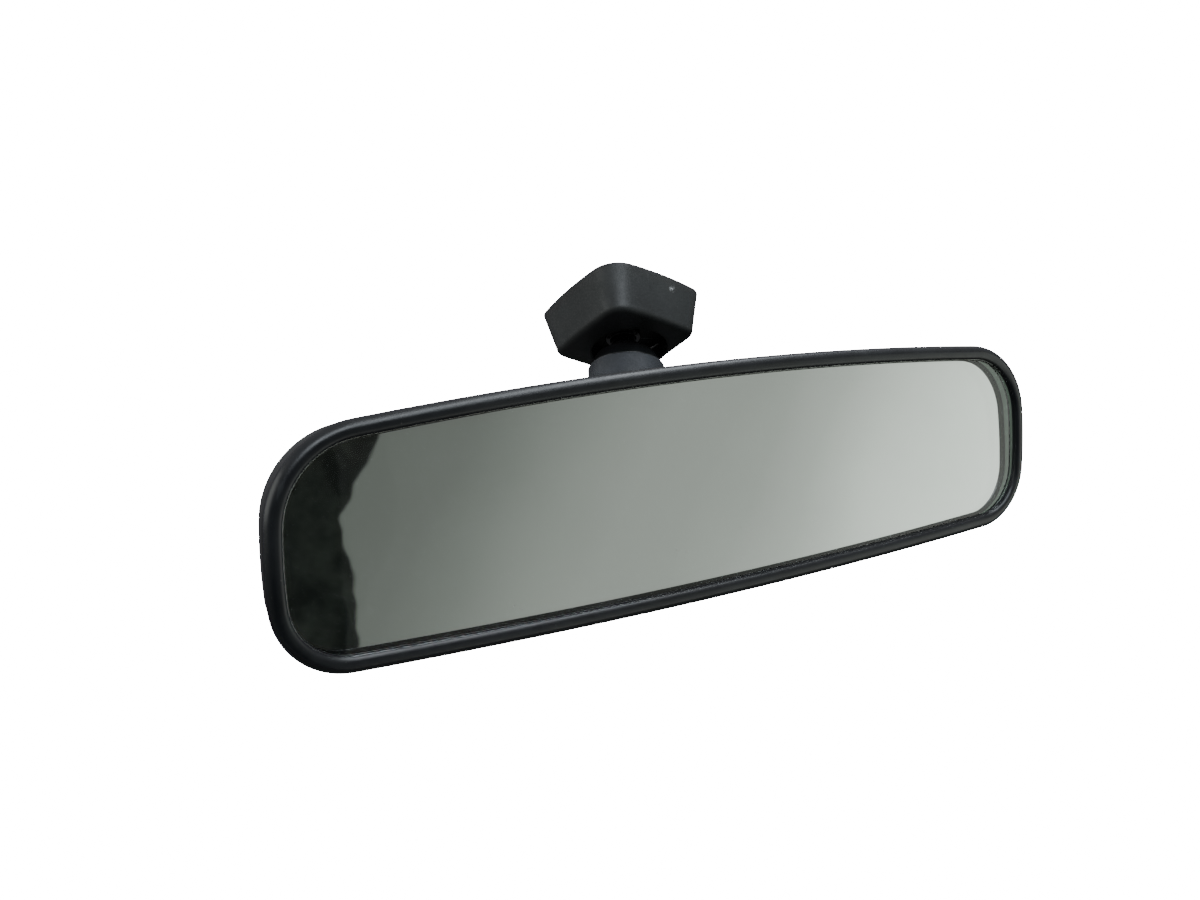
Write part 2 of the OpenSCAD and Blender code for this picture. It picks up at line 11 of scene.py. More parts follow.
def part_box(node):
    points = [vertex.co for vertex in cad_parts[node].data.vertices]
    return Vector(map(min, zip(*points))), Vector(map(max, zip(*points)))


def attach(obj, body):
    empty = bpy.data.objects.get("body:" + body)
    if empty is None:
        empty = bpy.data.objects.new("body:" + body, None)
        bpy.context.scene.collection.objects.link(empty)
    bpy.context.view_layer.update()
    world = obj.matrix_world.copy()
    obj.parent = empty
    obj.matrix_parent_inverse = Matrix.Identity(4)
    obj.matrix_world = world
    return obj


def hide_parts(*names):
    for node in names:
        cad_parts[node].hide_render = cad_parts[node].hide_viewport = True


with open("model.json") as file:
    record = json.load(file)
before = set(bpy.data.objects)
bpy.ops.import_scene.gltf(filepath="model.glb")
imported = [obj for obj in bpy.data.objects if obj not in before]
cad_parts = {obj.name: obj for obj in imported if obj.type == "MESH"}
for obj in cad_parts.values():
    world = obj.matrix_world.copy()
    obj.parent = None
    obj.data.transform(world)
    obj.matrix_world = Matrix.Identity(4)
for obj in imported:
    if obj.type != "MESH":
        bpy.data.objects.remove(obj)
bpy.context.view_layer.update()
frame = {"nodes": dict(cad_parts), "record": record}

MM = 0.001


def mm(*sizes):
    return tuple(size * MM for size in sizes)


record = frame["record"]
joints = {j["name"]: j for j in record["behaviour"]["joints"]}
mounts = {m["name"]: m for m in record["mounts"]}


# ---- frames

def frame_matrix(at, x, y, z):
    """A frame at a place, with the three given axes as its columns."""
    m = Matrix((x, y, z)).transposed().to_4x4()
    m.translation = at
    return m


def along(at, z):
    """A frame at a place whose +Z points along a direction."""
    z = Vector(z).normalized()
    helper = Vector((0, 0, 1)) if abs(z.z) < 0.9 else Vector((1, 0, 0))
    x = helper.cross(z).normalized()
    return frame_matrix(at, x, z.cross(x), z)


def along_x(at):
    """A frame at a place whose +Z points along the row's X."""
    return frame_matrix(at, (0, 1, 0), (0, 0, 1), (1, 0, 0))


upper_ball = Vector(joints["arm_pitch"]["pos_m"])
lower_ball = Vector(joints["head_turn"]["pos_m"])
arm_dir = Vector(joints["head_turn"]["axis"])
arm_span = (upper_ball - lower_ball).length
mount_x = Vector(joints["arm_pitch"]["axis"])
mount_y = Vector(joints["arm_swing"]["axis"])
mount_z = Vector(mounts["windscreen_seat"]["axis"])
bezel_low, bezel_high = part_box("bezel")
head_at = Vector(((bezel_low.x + bezel_high.x) / 2, bezel_low.y, (bezel_low.z + bezel_high.z) / 2))
STUD_RISE = math.radians(50)
stud_dir = Vector((0, math.cos(STUD_RISE), math.sin(STUD_RISE)))

IN_MOUNT = frame_matrix((0, 0, 0), mount_x, mount_y, mount_z)
IN_HEAD = Matrix.Translation(head_at)
AT_UPPER = along(upper_ball, arm_dir)
AT_LOWER = along(lower_ball, -arm_dir)
AT_STUD = along(lower_ball, stud_dir)
ball_in_mount = IN_MOUNT.inverted() @ upper_ball
BALL_DROP = -ball_in_mount.z

# Head sizes
HALF_W = (bezel_high.x - bezel_low.x) / 2
TOP = bezel_high.z - head_at.z
BOTTOM = head_at.z - bezel_low.z
BEZEL_DEPTH = bezel_high.y - bezel_low.y
HEAD_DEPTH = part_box("rear_case")[1].y - head_at.y
TOP_R, BOTTOM_R, END_R = mm(1250, 2230, 140)
TOP_CORNER, BOTTOM_CORNER = mm(24, 19)
END_Z = -6 * MM
RIM_W = 4.6 * MM
GLASS_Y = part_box("mirror_glass")[0].y - head_at.y
GLASS_MID, GLASS_TAPER = mm(4.4, 2.4)
SKIRT_IN = 3 * MM
BEZEL_DRAW = 2 * MM
CASE_WALL = 1.8 * MM
PIVOT = Vector(joints["glare_flip"]["pos_m"]) - head_at
LEVER_PIN = Vector(joints["lever_flip"]["pos_m"]) - head_at
OPENING_R = 14 * MM
PIN_R = 1.5 * MM
CLIP_X = 28.3 * MM               # the clips' distance from the middle of the hinge pin
PAD_W, PAD_CORNER = mm(46, 3)
SCREW_X, SCREW_HEAD_R = mm(2.6, 1.7)
SCREW_R, SCREW_ROOT = mm(0.88, 0.68)

# Mount sizes
COVER_H = 15.2 * MM
COVER_LIFT = 0.4 * MM
COVER_WALL = 1.6 * MM
COVER_TURN = math.radians(34.3)
RECESS_AT = Vector(mm(3.3, 1.85))
RECESS_R, RECESS_DEPTH = mm(11.9, 5.6)
SCUFF_AT, SCUFF_R = Vector((5.1, -18.9, -3.7)) * MM, 1.5 * MM
BASE_H = 9.5 * MM
SOCKET_DEPTH, POCKET = mm(5, 1.6)
RIVET_X, RIVET_Y = mm(5.5, -4)
RIVET_R, RIVET_HEAD_R = mm(1, 1.7)

# Arm sizes
BALL_R = 7 * MM
CUP_R = 8 * MM
TUBE_R, BORE_R = mm(11.85, 10.25)
RIM_BACK, LIP_PAST, LIP_R = mm(2.5, 2.2, 8.9)
SPIGOT = 3 * MM
SEAT_END = 10.5 * MM
STUD_SEAT, BOSS_T = mm(15, 5)
UPPER_NECK, UPPER_FLANGE = mm(3.8, 5.6)
LOWER_NECK, LOWER_FLANGE = mm(3.5, 5.1)
THREAD_ROOT, THREAD_R, THREAD_PITCH = mm(2.2, 2.5, 0.4)
COIL_WIRE, COIL_R, COIL_TURNS = 0.9 * MM, 7.4 * MM, 4.0
COIL_DEAD, COIL_CREEP = 0.7, 0.25 * MM    # nearly flat turns at each end, and their rise a turn

SCUFF = IN_MOUNT @ Matrix.Rotation(COVER_TURN, 4, "Z") @ SCUFF_AT


# ---- materials

# Scales of the noise behind a finish's mottling, gloss, dust film and specks
MOTTLE, GLOSS, FILM, SPECKS = 60, 220, 35, 1500


def new_material(name):
    mat = bpy.data.materials.new(name)
    mat.use_nodes = True
    tree = mat.node_tree
    return mat, tree, tree.nodes["Principled BSDF"]


def add(tree, kind, **values):
    """A node with its sockets set: names with a leading 'p_' are the node's own settings."""
    node = tree.nodes.new(kind)
    for key, value in values.items():
        if key.startswith("p_"):
            setattr(node, key[2:], value)
        else:
            node.inputs[key.replace("_", " ")].default_value = value
    return node


def noise_at(tree, coords, scale, detail=3.0, roughness=0.55):
    node = add(tree, "ShaderNodeTexNoise", Scale=scale, Detail=detail, Roughness=roughness)
    tree.links.new(coords, node.inputs["Vector"])
    return node.outputs["Fac"]


def ramp(tree, value, low, high, out_low, out_high):
    """Maps a value's range to another, clamped."""
    node = add(tree, "ShaderNodeMapRange")
    for i, v in zip((1, 2, 3, 4), (low, high, out_low, out_high)):
        node.inputs[i].default_value = v
    tree.links.new(value, node.inputs[0])
    return node.outputs[0]


def mix_colour(tree, factor, a, b):
    node = add(tree, "ShaderNodeMix", p_data_type="RGBA")
    tree.links.new(factor, node.inputs[0])
    for socket, value in ((node.inputs[6], a), (node.inputs[7], b)):
        if isinstance(value, bpy.types.NodeSocket):
            tree.links.new(value, socket)
        else:
            socket.default_value = (*value, 1)
    return node.outputs[2]


def maths(tree, operation, a, b):
    """A sum or product of a socket with another socket or a number."""
    node = add(tree, "ShaderNodeMath", p_operation=operation)
    tree.links.new(a, node.inputs[0])
    if isinstance(b, bpy.types.NodeSocket):
        tree.links.new(b, node.inputs[1])
    else:
        node.inputs[1].default_value = b
    return node.outputs[0]


def sum_of(tree, a, b):
    return maths(tree, "ADD", a, b)


def product_of(tree, a, b):
    return maths(tree, "MULTIPLY", a, b)


def stretched(tree, coords, scale):
    node = add(tree, "ShaderNodeMapping")
    node.inputs["Scale"].default_value = scale
    tree.links.new(coords, node.inputs["Vector"])
    return node.outputs["Vector"]


def finish(name, colour, rough, metallic=0.0, grain=900.0, depth=0.1, vary=0.25,
           dust=0.0, wear=0.0, worn=(0.2, 0.2, 0.2),
           brushed=None, coat=0.0, coat_rough=0.1, ior=1.5, sheen=0.0, scuff=None):
    """A procedural finish: colour mottling, fine grain, dust, edge wear and uneven gloss."""
    mat, tree, bsdf = new_material(name)
    coords = add(tree, "ShaderNodeTexCoord").outputs["Object"]
    broad = noise_at(tree, coords, MOTTLE, 4)
    dark = tuple(c * (1 - vary) for c in colour)
    light = tuple(min(1, c * (1 + vary)) for c in colour)
    shade = mix_colour(tree, ramp(tree, broad, 0.35, 0.65, 0, 1), dark, light)
    gloss = ramp(tree, noise_at(tree, coords, GLOSS, 5), 0.3, 0.7,
                 rough * 0.88, min(1, rough * 1.14))
    if wear:
        geometry = add(tree, "ShaderNodeNewGeometry")
        edges = ramp(tree, geometry.outputs["Pointiness"], 0.53, 0.6, 0, 1)
        shade = mix_colour(tree, product_of(tree, edges, wear), shade, worn)
    if dust:
        film = ramp(tree, noise_at(tree, coords, FILM, 6, 0.7), 0.45, 0.75, 0, dust)
        specks = ramp(tree, noise_at(tree, coords, SPECKS, 2), 0.735, 0.76, 0, min(1, dust * 5))
        amount = sum_of(tree, film, specks)
        shade = mix_colour(tree, amount, shade, (0.32, 0.31, 0.29))
        gloss = sum_of(tree, gloss, product_of(tree, amount, 0.4))
    if scuff:
        shade = mix_colour(tree, scuff_mask(tree, coords, scuff), shade, (0.42, 0.43, 0.43))
    tree.links.new(shade, bsdf.inputs["Base Color"])
    tree.links.new(gloss, bsdf.inputs["Roughness"])
    grain_coords = stretched(tree, coords, brushed) if brushed else coords
    height = noise_at(tree, grain_coords, grain, 4, 0.6)
    bump = add(tree, "ShaderNodeBump", Strength=depth, Distance=0.0002)
    tree.links.new(height, bump.inputs["Height"])
    tree.links.new(bump.outputs["Normal"], bsdf.inputs["Normal"])
    bsdf.inputs["Metallic"].default_value = metallic
    bsdf.inputs["IOR"].default_value = ior
    bsdf.inputs["Coat Weight"].default_value = coat
    bsdf.inputs["Coat Roughness"].default_value = coat_rough
    bsdf.inputs["Sheen Weight"].default_value = sheen
    return mat


def scuff_mask(tree, coords, scuff):
    """A ragged mark round a place: (centre, radius)."""
    centre, radius = scuff
    distance = add(tree, "ShaderNodeVectorMath", p_operation="DISTANCE")
    tree.links.new(coords, distance.inputs[0])
    distance.inputs[1].default_value = centre
    near = ramp(tree, distance.outputs["Value"], radius * 0.5, radius, 1, 0)
    ragged = ramp(tree, noise_at(tree, coords, 1100, 4, 0.7), 0.52, 0.6, 0, 1)
    return product_of(tree, near, ragged)


def glass_material():
    """Clear, faintly green glass with a little dust and smears on its face."""
    mat, tree, bsdf = new_material("prism_glass")
    out = tree.nodes["Material Output"]
    coords = add(tree, "ShaderNodeTexCoord").outputs["Object"]
    bsdf.inputs["Base Color"].default_value = (0.955, 0.985, 0.965, 1)
    bsdf.inputs["Transmission Weight"].default_value = 1.0
    bsdf.inputs["IOR"].default_value = 1.52
    smear = ramp(tree, noise_at(tree, stretched(tree, coords, (1, 1, 0.35)), 45, 6, 0.7),
                 0.5, 0.8, 0.0, 0.035)
    tree.links.new(smear, bsdf.inputs["Roughness"])
    dust = add(tree, "ShaderNodeBsdfDiffuse", Color=(0.62, 0.64, 0.62, 1))
    specks = ramp(tree, noise_at(tree, coords, 850, 2), 0.765, 0.79, 0, 0.5)
    veil = ramp(tree, noise_at(tree, coords, 30, 7, 0.75), 0.5, 0.85, 0.006, 0.05)
    amount = sum_of(tree, specks, veil)
    blend = add(tree, "ShaderNodeMixShader")
    tree.links.new(amount, blend.inputs[0])
    tree.links.new(bsdf.outputs[0], blend.inputs[1])
    tree.links.new(dust.outputs[0], blend.inputs[2])
    tree.links.new(blend.outputs[0], out.inputs["Surface"])
    return mat


MATERIALS = {
    "cover": finish("cover_grain", (0.019, 0.0205, 0.0205), 0.52, grain=2200, depth=0.16,
                    dust=0.03, wear=0.25, worn=(0.07, 0.072, 0.075),
                    scuff=(SCUFF, SCUFF_R)),
    "bezel": finish("bezel_satin", (0.0085, 0.0095, 0.0115), 0.31, grain=2600, depth=0.10,
                    dust=0.025, wear=0.25, worn=(0.05, 0.052, 0.055)),
    "case": finish("case_grain", (0.012, 0.0125, 0.0135), 0.5, grain=1500, depth=0.35,
                   dust=0.05, wear=0.3, worn=(0.06, 0.06, 0.06)),
    "zinc": finish("black_coated_cast", (0.016, 0.016, 0.017), 0.45, metallic=0.2, grain=1300,
                   depth=0.25, dust=0.04, wear=0.5, worn=(0.3, 0.3, 0.3)),
    "bracket": finish("bracket_cast", (0.27, 0.28, 0.29), 0.52, metallic=0.8, grain=1200,
                      depth=0.3, dust=0.1, wear=0.5, worn=(0.5, 0.5, 0.5)),
    "spring": finish("spring_steel", (0.58, 0.58, 0.59), 0.3, metallic=1, grain=1500,
                     brushed=(1, 1, 6), depth=0.08),
    "plated": finish("zinc_plate", (0.52, 0.53, 0.55), 0.36, metallic=1, grain=2200,
                     depth=0.08, dust=0.05, wear=0.4, worn=(0.7, 0.7, 0.7)),
    "ball": finish("black_ball", (0.008, 0.008, 0.009), 0.16, grain=1800, depth=0.03,
                   coat=0.6, coat_rough=0.08, dust=0.01),
    "tube": finish("tube_paint", (0.030, 0.033, 0.039), 0.62, grain=2400,
                   depth=0.06, dust=0.03, wear=0.5, worn=(0.16, 0.17, 0.18)),
    "collar": finish("black_oxide", (0.013, 0.014, 0.015), 0.3, metallic=0.5, grain=2000,
                     depth=0.08, wear=0.9, worn=(0.35, 0.36, 0.37)),
    "nylon": finish("nylon", (0.62, 0.60, 0.54), 0.42, grain=1800, depth=0.05, ior=1.53),
    "film": finish("grey_film", (0.10, 0.105, 0.11), 0.45, grain=700, depth=0.15),
    "foam": finish("foam", (0.022, 0.022, 0.024), 0.95, grain=2600, depth=1.0, sheen=0.3),
    "lever": finish("lever_grain", (0.012, 0.0125, 0.0135), 0.45, grain=1800, depth=0.25,
                    dust=0.04, wear=0.3, worn=(0.07, 0.07, 0.07)),
    "glass": glass_material(),
    "silver": finish("silvering", (0.90, 0.925, 0.90), 0.015, metallic=1, grain=20,
                     depth=0.0, vary=0.004),
    "glass_edge": finish("ground_edge", (0.06, 0.08, 0.065), 0.5, grain=2500,
                         depth=0.12, vary=0.06),
    # The glass's front and back chamfers get a flat dark grey, which draws the thin dark line
    # round the glass.
    "dark_chamfer": finish("dark_chamfer", (0.012, 0.013, 0.0125), 0.6, grain=2500,
                         depth=0.05),
}

# A faint glow stands for the light that the glass carries to its ground edge.
edge_shader = MATERIALS["glass_edge"].node_tree.nodes["Principled BSDF"]
edge_shader.inputs["Emission Color"].default_value = (0.62, 0.82, 0.66, 1)
edge_shader.inputs["Emission Strength"].default_value = 0.12


# ---- mesh helpers

def linked(name, data):
    """A new object in the scene."""
    obj = bpy.data.objects.new(name, data)
    bpy.context.scene.collection.objects.link(obj)
    return obj


def made(name, verts, faces, matrix=Matrix.Identity(4)):
    """A new mesh object, placed in the row's frame."""
    mesh = bpy.data.meshes.new(name)
    mesh.from_pydata([matrix @ Vector(v) for v in verts], [], faces)
    return linked(name, mesh)


def piece(name, verts, faces, matrix, body, material, stands_for=(), smooth_below=35):
    """A closed mesh piece, placed in the row's frame, with sharp edges where faces turn hard."""
    obj = made(name, verts, faces, matrix)
    return dress(obj, body, material, stands_for, smooth_below)


def dress(obj, body, material, stands_for=(), smooth_below=35):
    """Tidies a piece's mesh, gives it its body and material, and hides the CAD nodes that it
    stands for.
    """
    bm = bmesh.new()
    bm.from_mesh(obj.data)
    bmesh.ops.remove_doubles(bm, verts=bm.verts, dist=1e-7)
    bmesh.ops.recalc_face_normals(bm, faces=bm.faces)
    limit = math.radians(smooth_below)
    for face in bm.faces:
        face.smooth = True
    for edge in bm.edges:
        edge.smooth = len(edge.link_faces) == 2 and edge.calc_face_angle(0) < limit
    bm.to_mesh(obj.data)
    bm.free()
    if not obj.data.materials:
        obj.data.materials.append(MATERIALS[material])
    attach(obj, body)
    if stands_for:
        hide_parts(*stands_for)
    return obj


def turn_of(count):
    """Even angles round a full turn."""
    return [2 * math.pi * k / count for k in range(count)]


def quarter(steps, first=0):
    """Even angles through a right angle, both ends included."""
    return [math.pi / 2 * i / steps for i in range(first, steps + 1)]


def rounded(points, steps=5):
    """A closed outline with its corners rounded: each point is (x, y, radius)."""
    out = []
    for i, (x, y, r) in enumerate(points):
        here = Vector((x, y))
        back = Vector(points[i - 1][:2]) - here
        ahead = Vector(points[(i + 1) % len(points)][:2]) - here
        angle = back.angle(ahead, math.pi)
        if r <= 0 or angle > math.radians(178):
            out.append((x, y))
            continue
        reach = min(r / math.tan(angle / 2), back.length * 0.49, ahead.length * 0.49)
        r = reach * math.tan(angle / 2)
        back.normalize()
        ahead.normalize()
        middle = here + (back + ahead).normalized() * (r / math.sin(angle / 2))
        start = here + back * reach - middle
        end = here + ahead * reach - middle
        turn = start.angle_signed(end)
        for k in range(steps + 1):
            a = -turn * k / steps
            out.append(tuple(middle + Matrix.Rotation(a, 2) @ start))
    return out


def in_mm(points):
    return [(a * MM, b * MM, r * MM) for a, b, r in points]


def lathe(name, outline, matrix, body, material, stands_for=(), segments=96):
    """Revolves a closed outline of (radius, height, rounding) round +Z.

    Points at radius 0 close on the axis.
    """
    section = [(max(r, 0.0), z) for r, z in rounded(outline)]
    verts, faces = [], []
    for a in turn_of(segments):
        verts += [(r * math.cos(a), r * math.sin(a), z) for r, z in section]
    n = len(section)
    for k in range(segments):
        for i in range(n):
            j = (i + 1) % n
            if section[i][0] < 1e-9 and section[j][0] < 1e-9:
                continue
            a, b = k * n, ((k + 1) % segments) * n
            quad = [a + i, b + i, b + j, a + j]
            if section[i][0] < 1e-9:
                quad = [a + i, b + j, a + j]
            elif section[j][0] < 1e-9:
                quad = [a + i, b + i, a + j]
            faces.append(quad)
    return piece(name, verts, faces, matrix, body, material, stands_for)


def loop_faces(rings, count, closed):
    """The quads between rings of points. A closed loop joins the last ring to the first."""
    faces = []
    for i in range(rings if closed else rings - 1):
        a, b = i * count, ((i + 1) % rings) * count
        for j in range(count):
            k = (j + 1) % count
            faces.append((a + j, a + k, b + k, b + j))
    return faces


def capped_faces(rings, count):
    """The faces of a closed tube of rings: its two ends and its side."""
    last = (rings - 1) * count
    return ([tuple(range(count)), tuple(range(last, last + count))]
            + loop_faces(rings, count, False))


def block(name, outline, low, high, matrix, body, material, bevel, stands_for):
    """A plate: a rounded outline in XY, from low to high along Z, with its edges softened."""
    section = rounded(outline)
    n = len(section)
    verts = [(x, y, low) for x, y in section] + [(x, y, high) for x, y in section]
    obj = piece(name, verts, capped_faces(2, n), matrix, body, material, stands_for)
    return soften(obj, bevel)


def soften(obj, width, segments=3, angle=35):
    bevel = obj.modifiers.new("edges", "BEVEL")
    bevel.width = width
    bevel.segments = segments
    bevel.limit_method = "ANGLE"
    bevel.angle_limit = math.radians(angle)
    bevel.harden_normals = True
    return obj


def softened_copy(node, body, material, width, name=None):
    """A copy of a CAD node with softened edges, which stands for it."""
    obj = linked(name or node + "_piece", frame["nodes"][node].data.copy())
    obj.data.materials.clear()
    bm = bmesh.new()
    bm.from_mesh(obj.data)
    bmesh.ops.remove_doubles(bm, verts=bm.verts, dist=1e-6)
    bmesh.ops.dissolve_limit(bm, angle_limit=math.radians(0.5), verts=bm.verts, edges=bm.edges)
    bm.to_mesh(obj.data)
    bm.free()
    dress(obj, body, material, (node,))
    return soften(obj, width, 2, 40)


def combined(obj, operation, *others):
    """Applies a boolean with each other object, and removes them."""
    for other in others:
        step = obj.modifiers.new("cut", "BOOLEAN")
        step.operation = operation
        step.object = other
        step.solver = "EXACT"
        depsgraph = bpy.context.evaluated_depsgraph_get()
        mesh = bpy.data.meshes.new_from_object(obj.evaluated_get(depsgraph))
        obj.modifiers.clear()
        obj.data = mesh
        bpy.data.objects.remove(other)
    return obj


def loose(verts, faces, matrix=Matrix.Identity(4)):
    """A closed helper mesh, placed in the row's frame, used in a boolean."""
    obj = made("helper", verts, faces, matrix)
    bm = bmesh.new()
    bm.from_mesh(obj.data)
    bmesh.ops.recalc_face_normals(bm, faces=bm.faces)
    bm.to_mesh(obj.data)
    bm.free()
    return obj


def box_mesh(low, high):
    xs, ys, zs = zip(low, high)
    corners = [(x, y, z) for x in xs for y in ys for z in zs]
    faces = [(0, 1, 3, 2), (4, 6, 7, 5), (0, 4, 5, 1), (2, 3, 7, 6), (0, 2, 6, 4), (1, 5, 7, 3)]
    return corners, faces


def bar_mesh(r, low, high, segments=48):
    """A cylinder along Z."""
    turn = turn_of(segments)
    verts = [(r * math.cos(a), r * math.sin(a), z) for z in (low, high) for a in turn]
    return verts, capped_faces(2, segments)


def swept(name, path, radius, closed, body, material, stands_for, sides, up):
    """A round bar along a path of points in the row's frame, which never runs along up."""
    points = [Vector(p) for p in path]
    count = len(points)
    verts = []
    for i, p in enumerate(points):
        ahead = points[(i + 1) % count] if closed or i < count - 1 else p
        back = points[i - 1] if closed or i else p
        tangent = (ahead - back).normalized()
        side = tangent.cross(up).normalized()
        rise = side.cross(tangent)
        verts += [p + side * (radius * math.cos(a)) + rise * (radius * math.sin(a))
                  for a in turn_of(sides)]
    faces = loop_faces(count, sides, closed)
    if not closed:
        faces += [tuple(range(sides)), tuple(range((count - 1) * sides, count * sides))]
    return piece(name, verts, faces, Matrix.Identity(4), body, material, stands_for, 50)


def bezier(p, q, r, steps):
    """Points on a quadratic curve, ends included."""
    p, q, r = Vector(p), Vector(q), Vector(r)
    return [p * (1 - t) ** 2 + q * 2 * t * (1 - t) + r * t * t
            for t in (i / steps for i in range(steps + 1))]


# ---- outline of the head

def meet(p, rp, q, rq, side):
    """Where a circle round p meets one round q, on the side (1 or -1) of the line p to q."""
    gap = q - p
    d = gap.length
    a = (d * d + rp * rp - rq * rq) / (2 * d)
    u = gap / d
    return p + a * u + side * math.sqrt(rp * rp - a * a) * Vector((-u.y, u.x))


def bearing(p, q):
    """The angle of the direction from p to q."""
    return math.atan2(q.y - p.y, q.x - p.x)


TOP_CENTRE = Vector((0, TOP - TOP_R))
BOTTOM_CENTRE = Vector((0, BOTTOM_R - BOTTOM))
END_CENTRE = Vector((HALF_W - END_R, END_Z))
HIGH = meet(TOP_CENTRE, TOP_R - TOP_CORNER, END_CENTRE, END_R - TOP_CORNER, -1)
LOW = meet(BOTTOM_CENTRE, BOTTOM_R - BOTTOM_CORNER, END_CENTRE, END_R - BOTTOM_CORNER, 1)
LONG_STEPS, CORNER_STEPS, END_STEPS = 30, 20, 14


def arc(centre, r, start, end, steps):
    """Points on an arc, its end left out."""
    return [centre + r * Vector((math.cos(a), math.sin(a)))
            for a in (start + (end - start) * i / steps for i in range(steps))]


def outline(inset):
    """The head's outline as (x, z) points, set in from its edge."""
    low, end, high, top = (bearing(BOTTOM_CENTRE, LOW), bearing(END_CENTRE, LOW),
                           bearing(END_CENTRE, HIGH), bearing(TOP_CENTRE, HIGH))
    right = (arc(BOTTOM_CENTRE, BOTTOM_R - inset, -math.pi / 2, low, LONG_STEPS)
             + arc(LOW, BOTTOM_CORNER - inset, low, end, CORNER_STEPS)
             + arc(END_CENTRE, END_R - inset, end, high, END_STEPS)
             + arc(HIGH, TOP_CORNER - inset, high, top, CORNER_STEPS)
             + arc(TOP_CENTRE, TOP_R - inset, top, math.pi / 2, LONG_STEPS))
    left = [Vector((-p.x, p.y)) for p in reversed(right[1:])]
    return right + [Vector((0, TOP - inset))] + left


RING = len(outline(0))


def head_band(name, section, material, stands_for):
    """A closed (inset, depth) section swept round the head's outline."""
    verts = []
    for inset, depth in section:
        verts += [(p.x, depth, p.y) for p in outline(inset)]
    faces = loop_faces(len(section), RING, True)
    return piece(name, verts, faces, IN_HEAD, "head", material, stands_for)


# ---- bezel, glass and film

# The rim's outer and inner curves: widths and depths of quarter ellipses
ROLL_W, ROLL_T = mm(2.3, 2.6)
INNER_W, INNER_T = mm(1.55, 1.2)
LIP = 0.3 * MM
SEAM = 0.3 * MM
GLASS_GAP, GLASS_SEAM = mm(0.2, 0.4)
FILM_INSET = 1.2 * MM


def build_bezel():
    """The rim is rolled over from its drawn-in side to a small lip against the glass."""
    lip_y = GLASS_Y - 0.05 * MM
    section = rounded([(SKIRT_IN, lip_y, 0.1 * MM), (SKIRT_IN, BEZEL_DEPTH, 0.2 * MM),
                       (BEZEL_DRAW, BEZEL_DEPTH, SEAM), (0, ROLL_T, 0)], 4)
    section += [(ROLL_W * (1 - math.cos(a)), ROLL_T * (1 - math.sin(a))) for a in quarter(12, 1)]
    section += [(RIM_W - LIP - INNER_W * (1 - math.sin(a)), INNER_T * (1 - math.cos(a)))
                for a in quarter(12)]
    section += rounded([(RIM_W - LIP, lip_y - LIP, 0.08 * MM), (RIM_W, lip_y - LIP, 0.1 * MM),
                        (RIM_W, lip_y, 0.08 * MM)], 3)
    head_band("bezel_rim", section, "bezel", ("bezel",))


def wedge_back(z):
    """Depth of the glass's back at a height."""
    return GLASS_Y + GLASS_MID + z * GLASS_TAPER / (TOP + BOTTOM)


def build_glass():
    """A wedge of clear glass, with a silvered back, a ground edge and dark seams round it."""
    edge, seam = SKIRT_IN + GLASS_GAP, GLASS_SEAM
    rings = [(edge + seam, lambda z: GLASS_Y), (edge, lambda z: GLASS_Y + seam),
             (edge, lambda z: wedge_back(z) - seam), (edge + seam, wedge_back)]
    verts = []
    for inset, depth in rings:
        verts += [(p.x, depth(p.y), p.y) for p in outline(inset)]
    glass = piece("prism_glass", verts, capped_faces(len(rings), RING), IN_HEAD, "head",
                  "glass", ("mirror_glass",), 20)
    for name in ("silver", "glass_edge", "dark_chamfer"):
        glass.data.materials.append(MATERIALS[name])
    for face in glass.data.polygons:
        if len(face.vertices) == RING:
            face.material_index = 1 if face.center.y > head_at.y + GLASS_Y + MM else 0
        else:
            face.material_index = 2 if abs(face.normal.y) < 0.3 else 3


def build_film():
    inset = SKIRT_IN + FILM_INSET
    verts = []
    for shift in mm(0.04, 0.4):
        verts += [(p.x, wedge_back(p.y) + shift, p.y) for p in outline(inset)]
    piece("backing_sheet", verts, capped_faces(2, RING), IN_HEAD, "head", "film",
          ("backing_film",))


def build_foam():
    """Two soft pads between the film and the case, with drawn-in faces."""
    low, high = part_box("foam_pads")
    for name, x0 in (("left", low.x), ("right", high.x - PAD_W)):
        x1 = x0 + PAD_W
        corners = [(x0, low.z), (x1, low.z), (x1, high.z), (x0, high.z)]
        across = rounded([(x, z, PAD_CORNER) for x, z in corners])
        middle = Vector(((x0 + x1) / 2, (low.z + high.z) / 2))
        back = head_at.y + BEZEL_DEPTH - 0.05 * MM
        verts = []
        levels = ((0, 0.97), (0.15, 1), (0.85, 1), (1, 0.97))
        for share, size in levels:
            for x, z in across:
                p = middle + (Vector((x, z)) - middle) * size
                front = head_at.y + wedge_back(p.y - head_at.z) + 0.45 * MM
                verts.append((p.x, front + (back - front) * share, p.y))
        pad = piece("foam_pad_" + name, verts, capped_faces(len(levels), len(across)),
                    Matrix.Identity(4), "head", "foam", ("foam_pads",), 70)


# ---- rear case

BACK_END = math.radians(84)
BACK_DROP = 15 * MM
ROUND_X, ROUND_Z = 0.7, 0.3
BACK_Y = BEZEL_DEPTH + (HEAD_DEPTH - BEZEL_DEPTH) / math.sin(BACK_END)
BACK_ANGLES = [BACK_END * i / 34 for i in range(35)] + [math.radians(87), math.radians(89)]

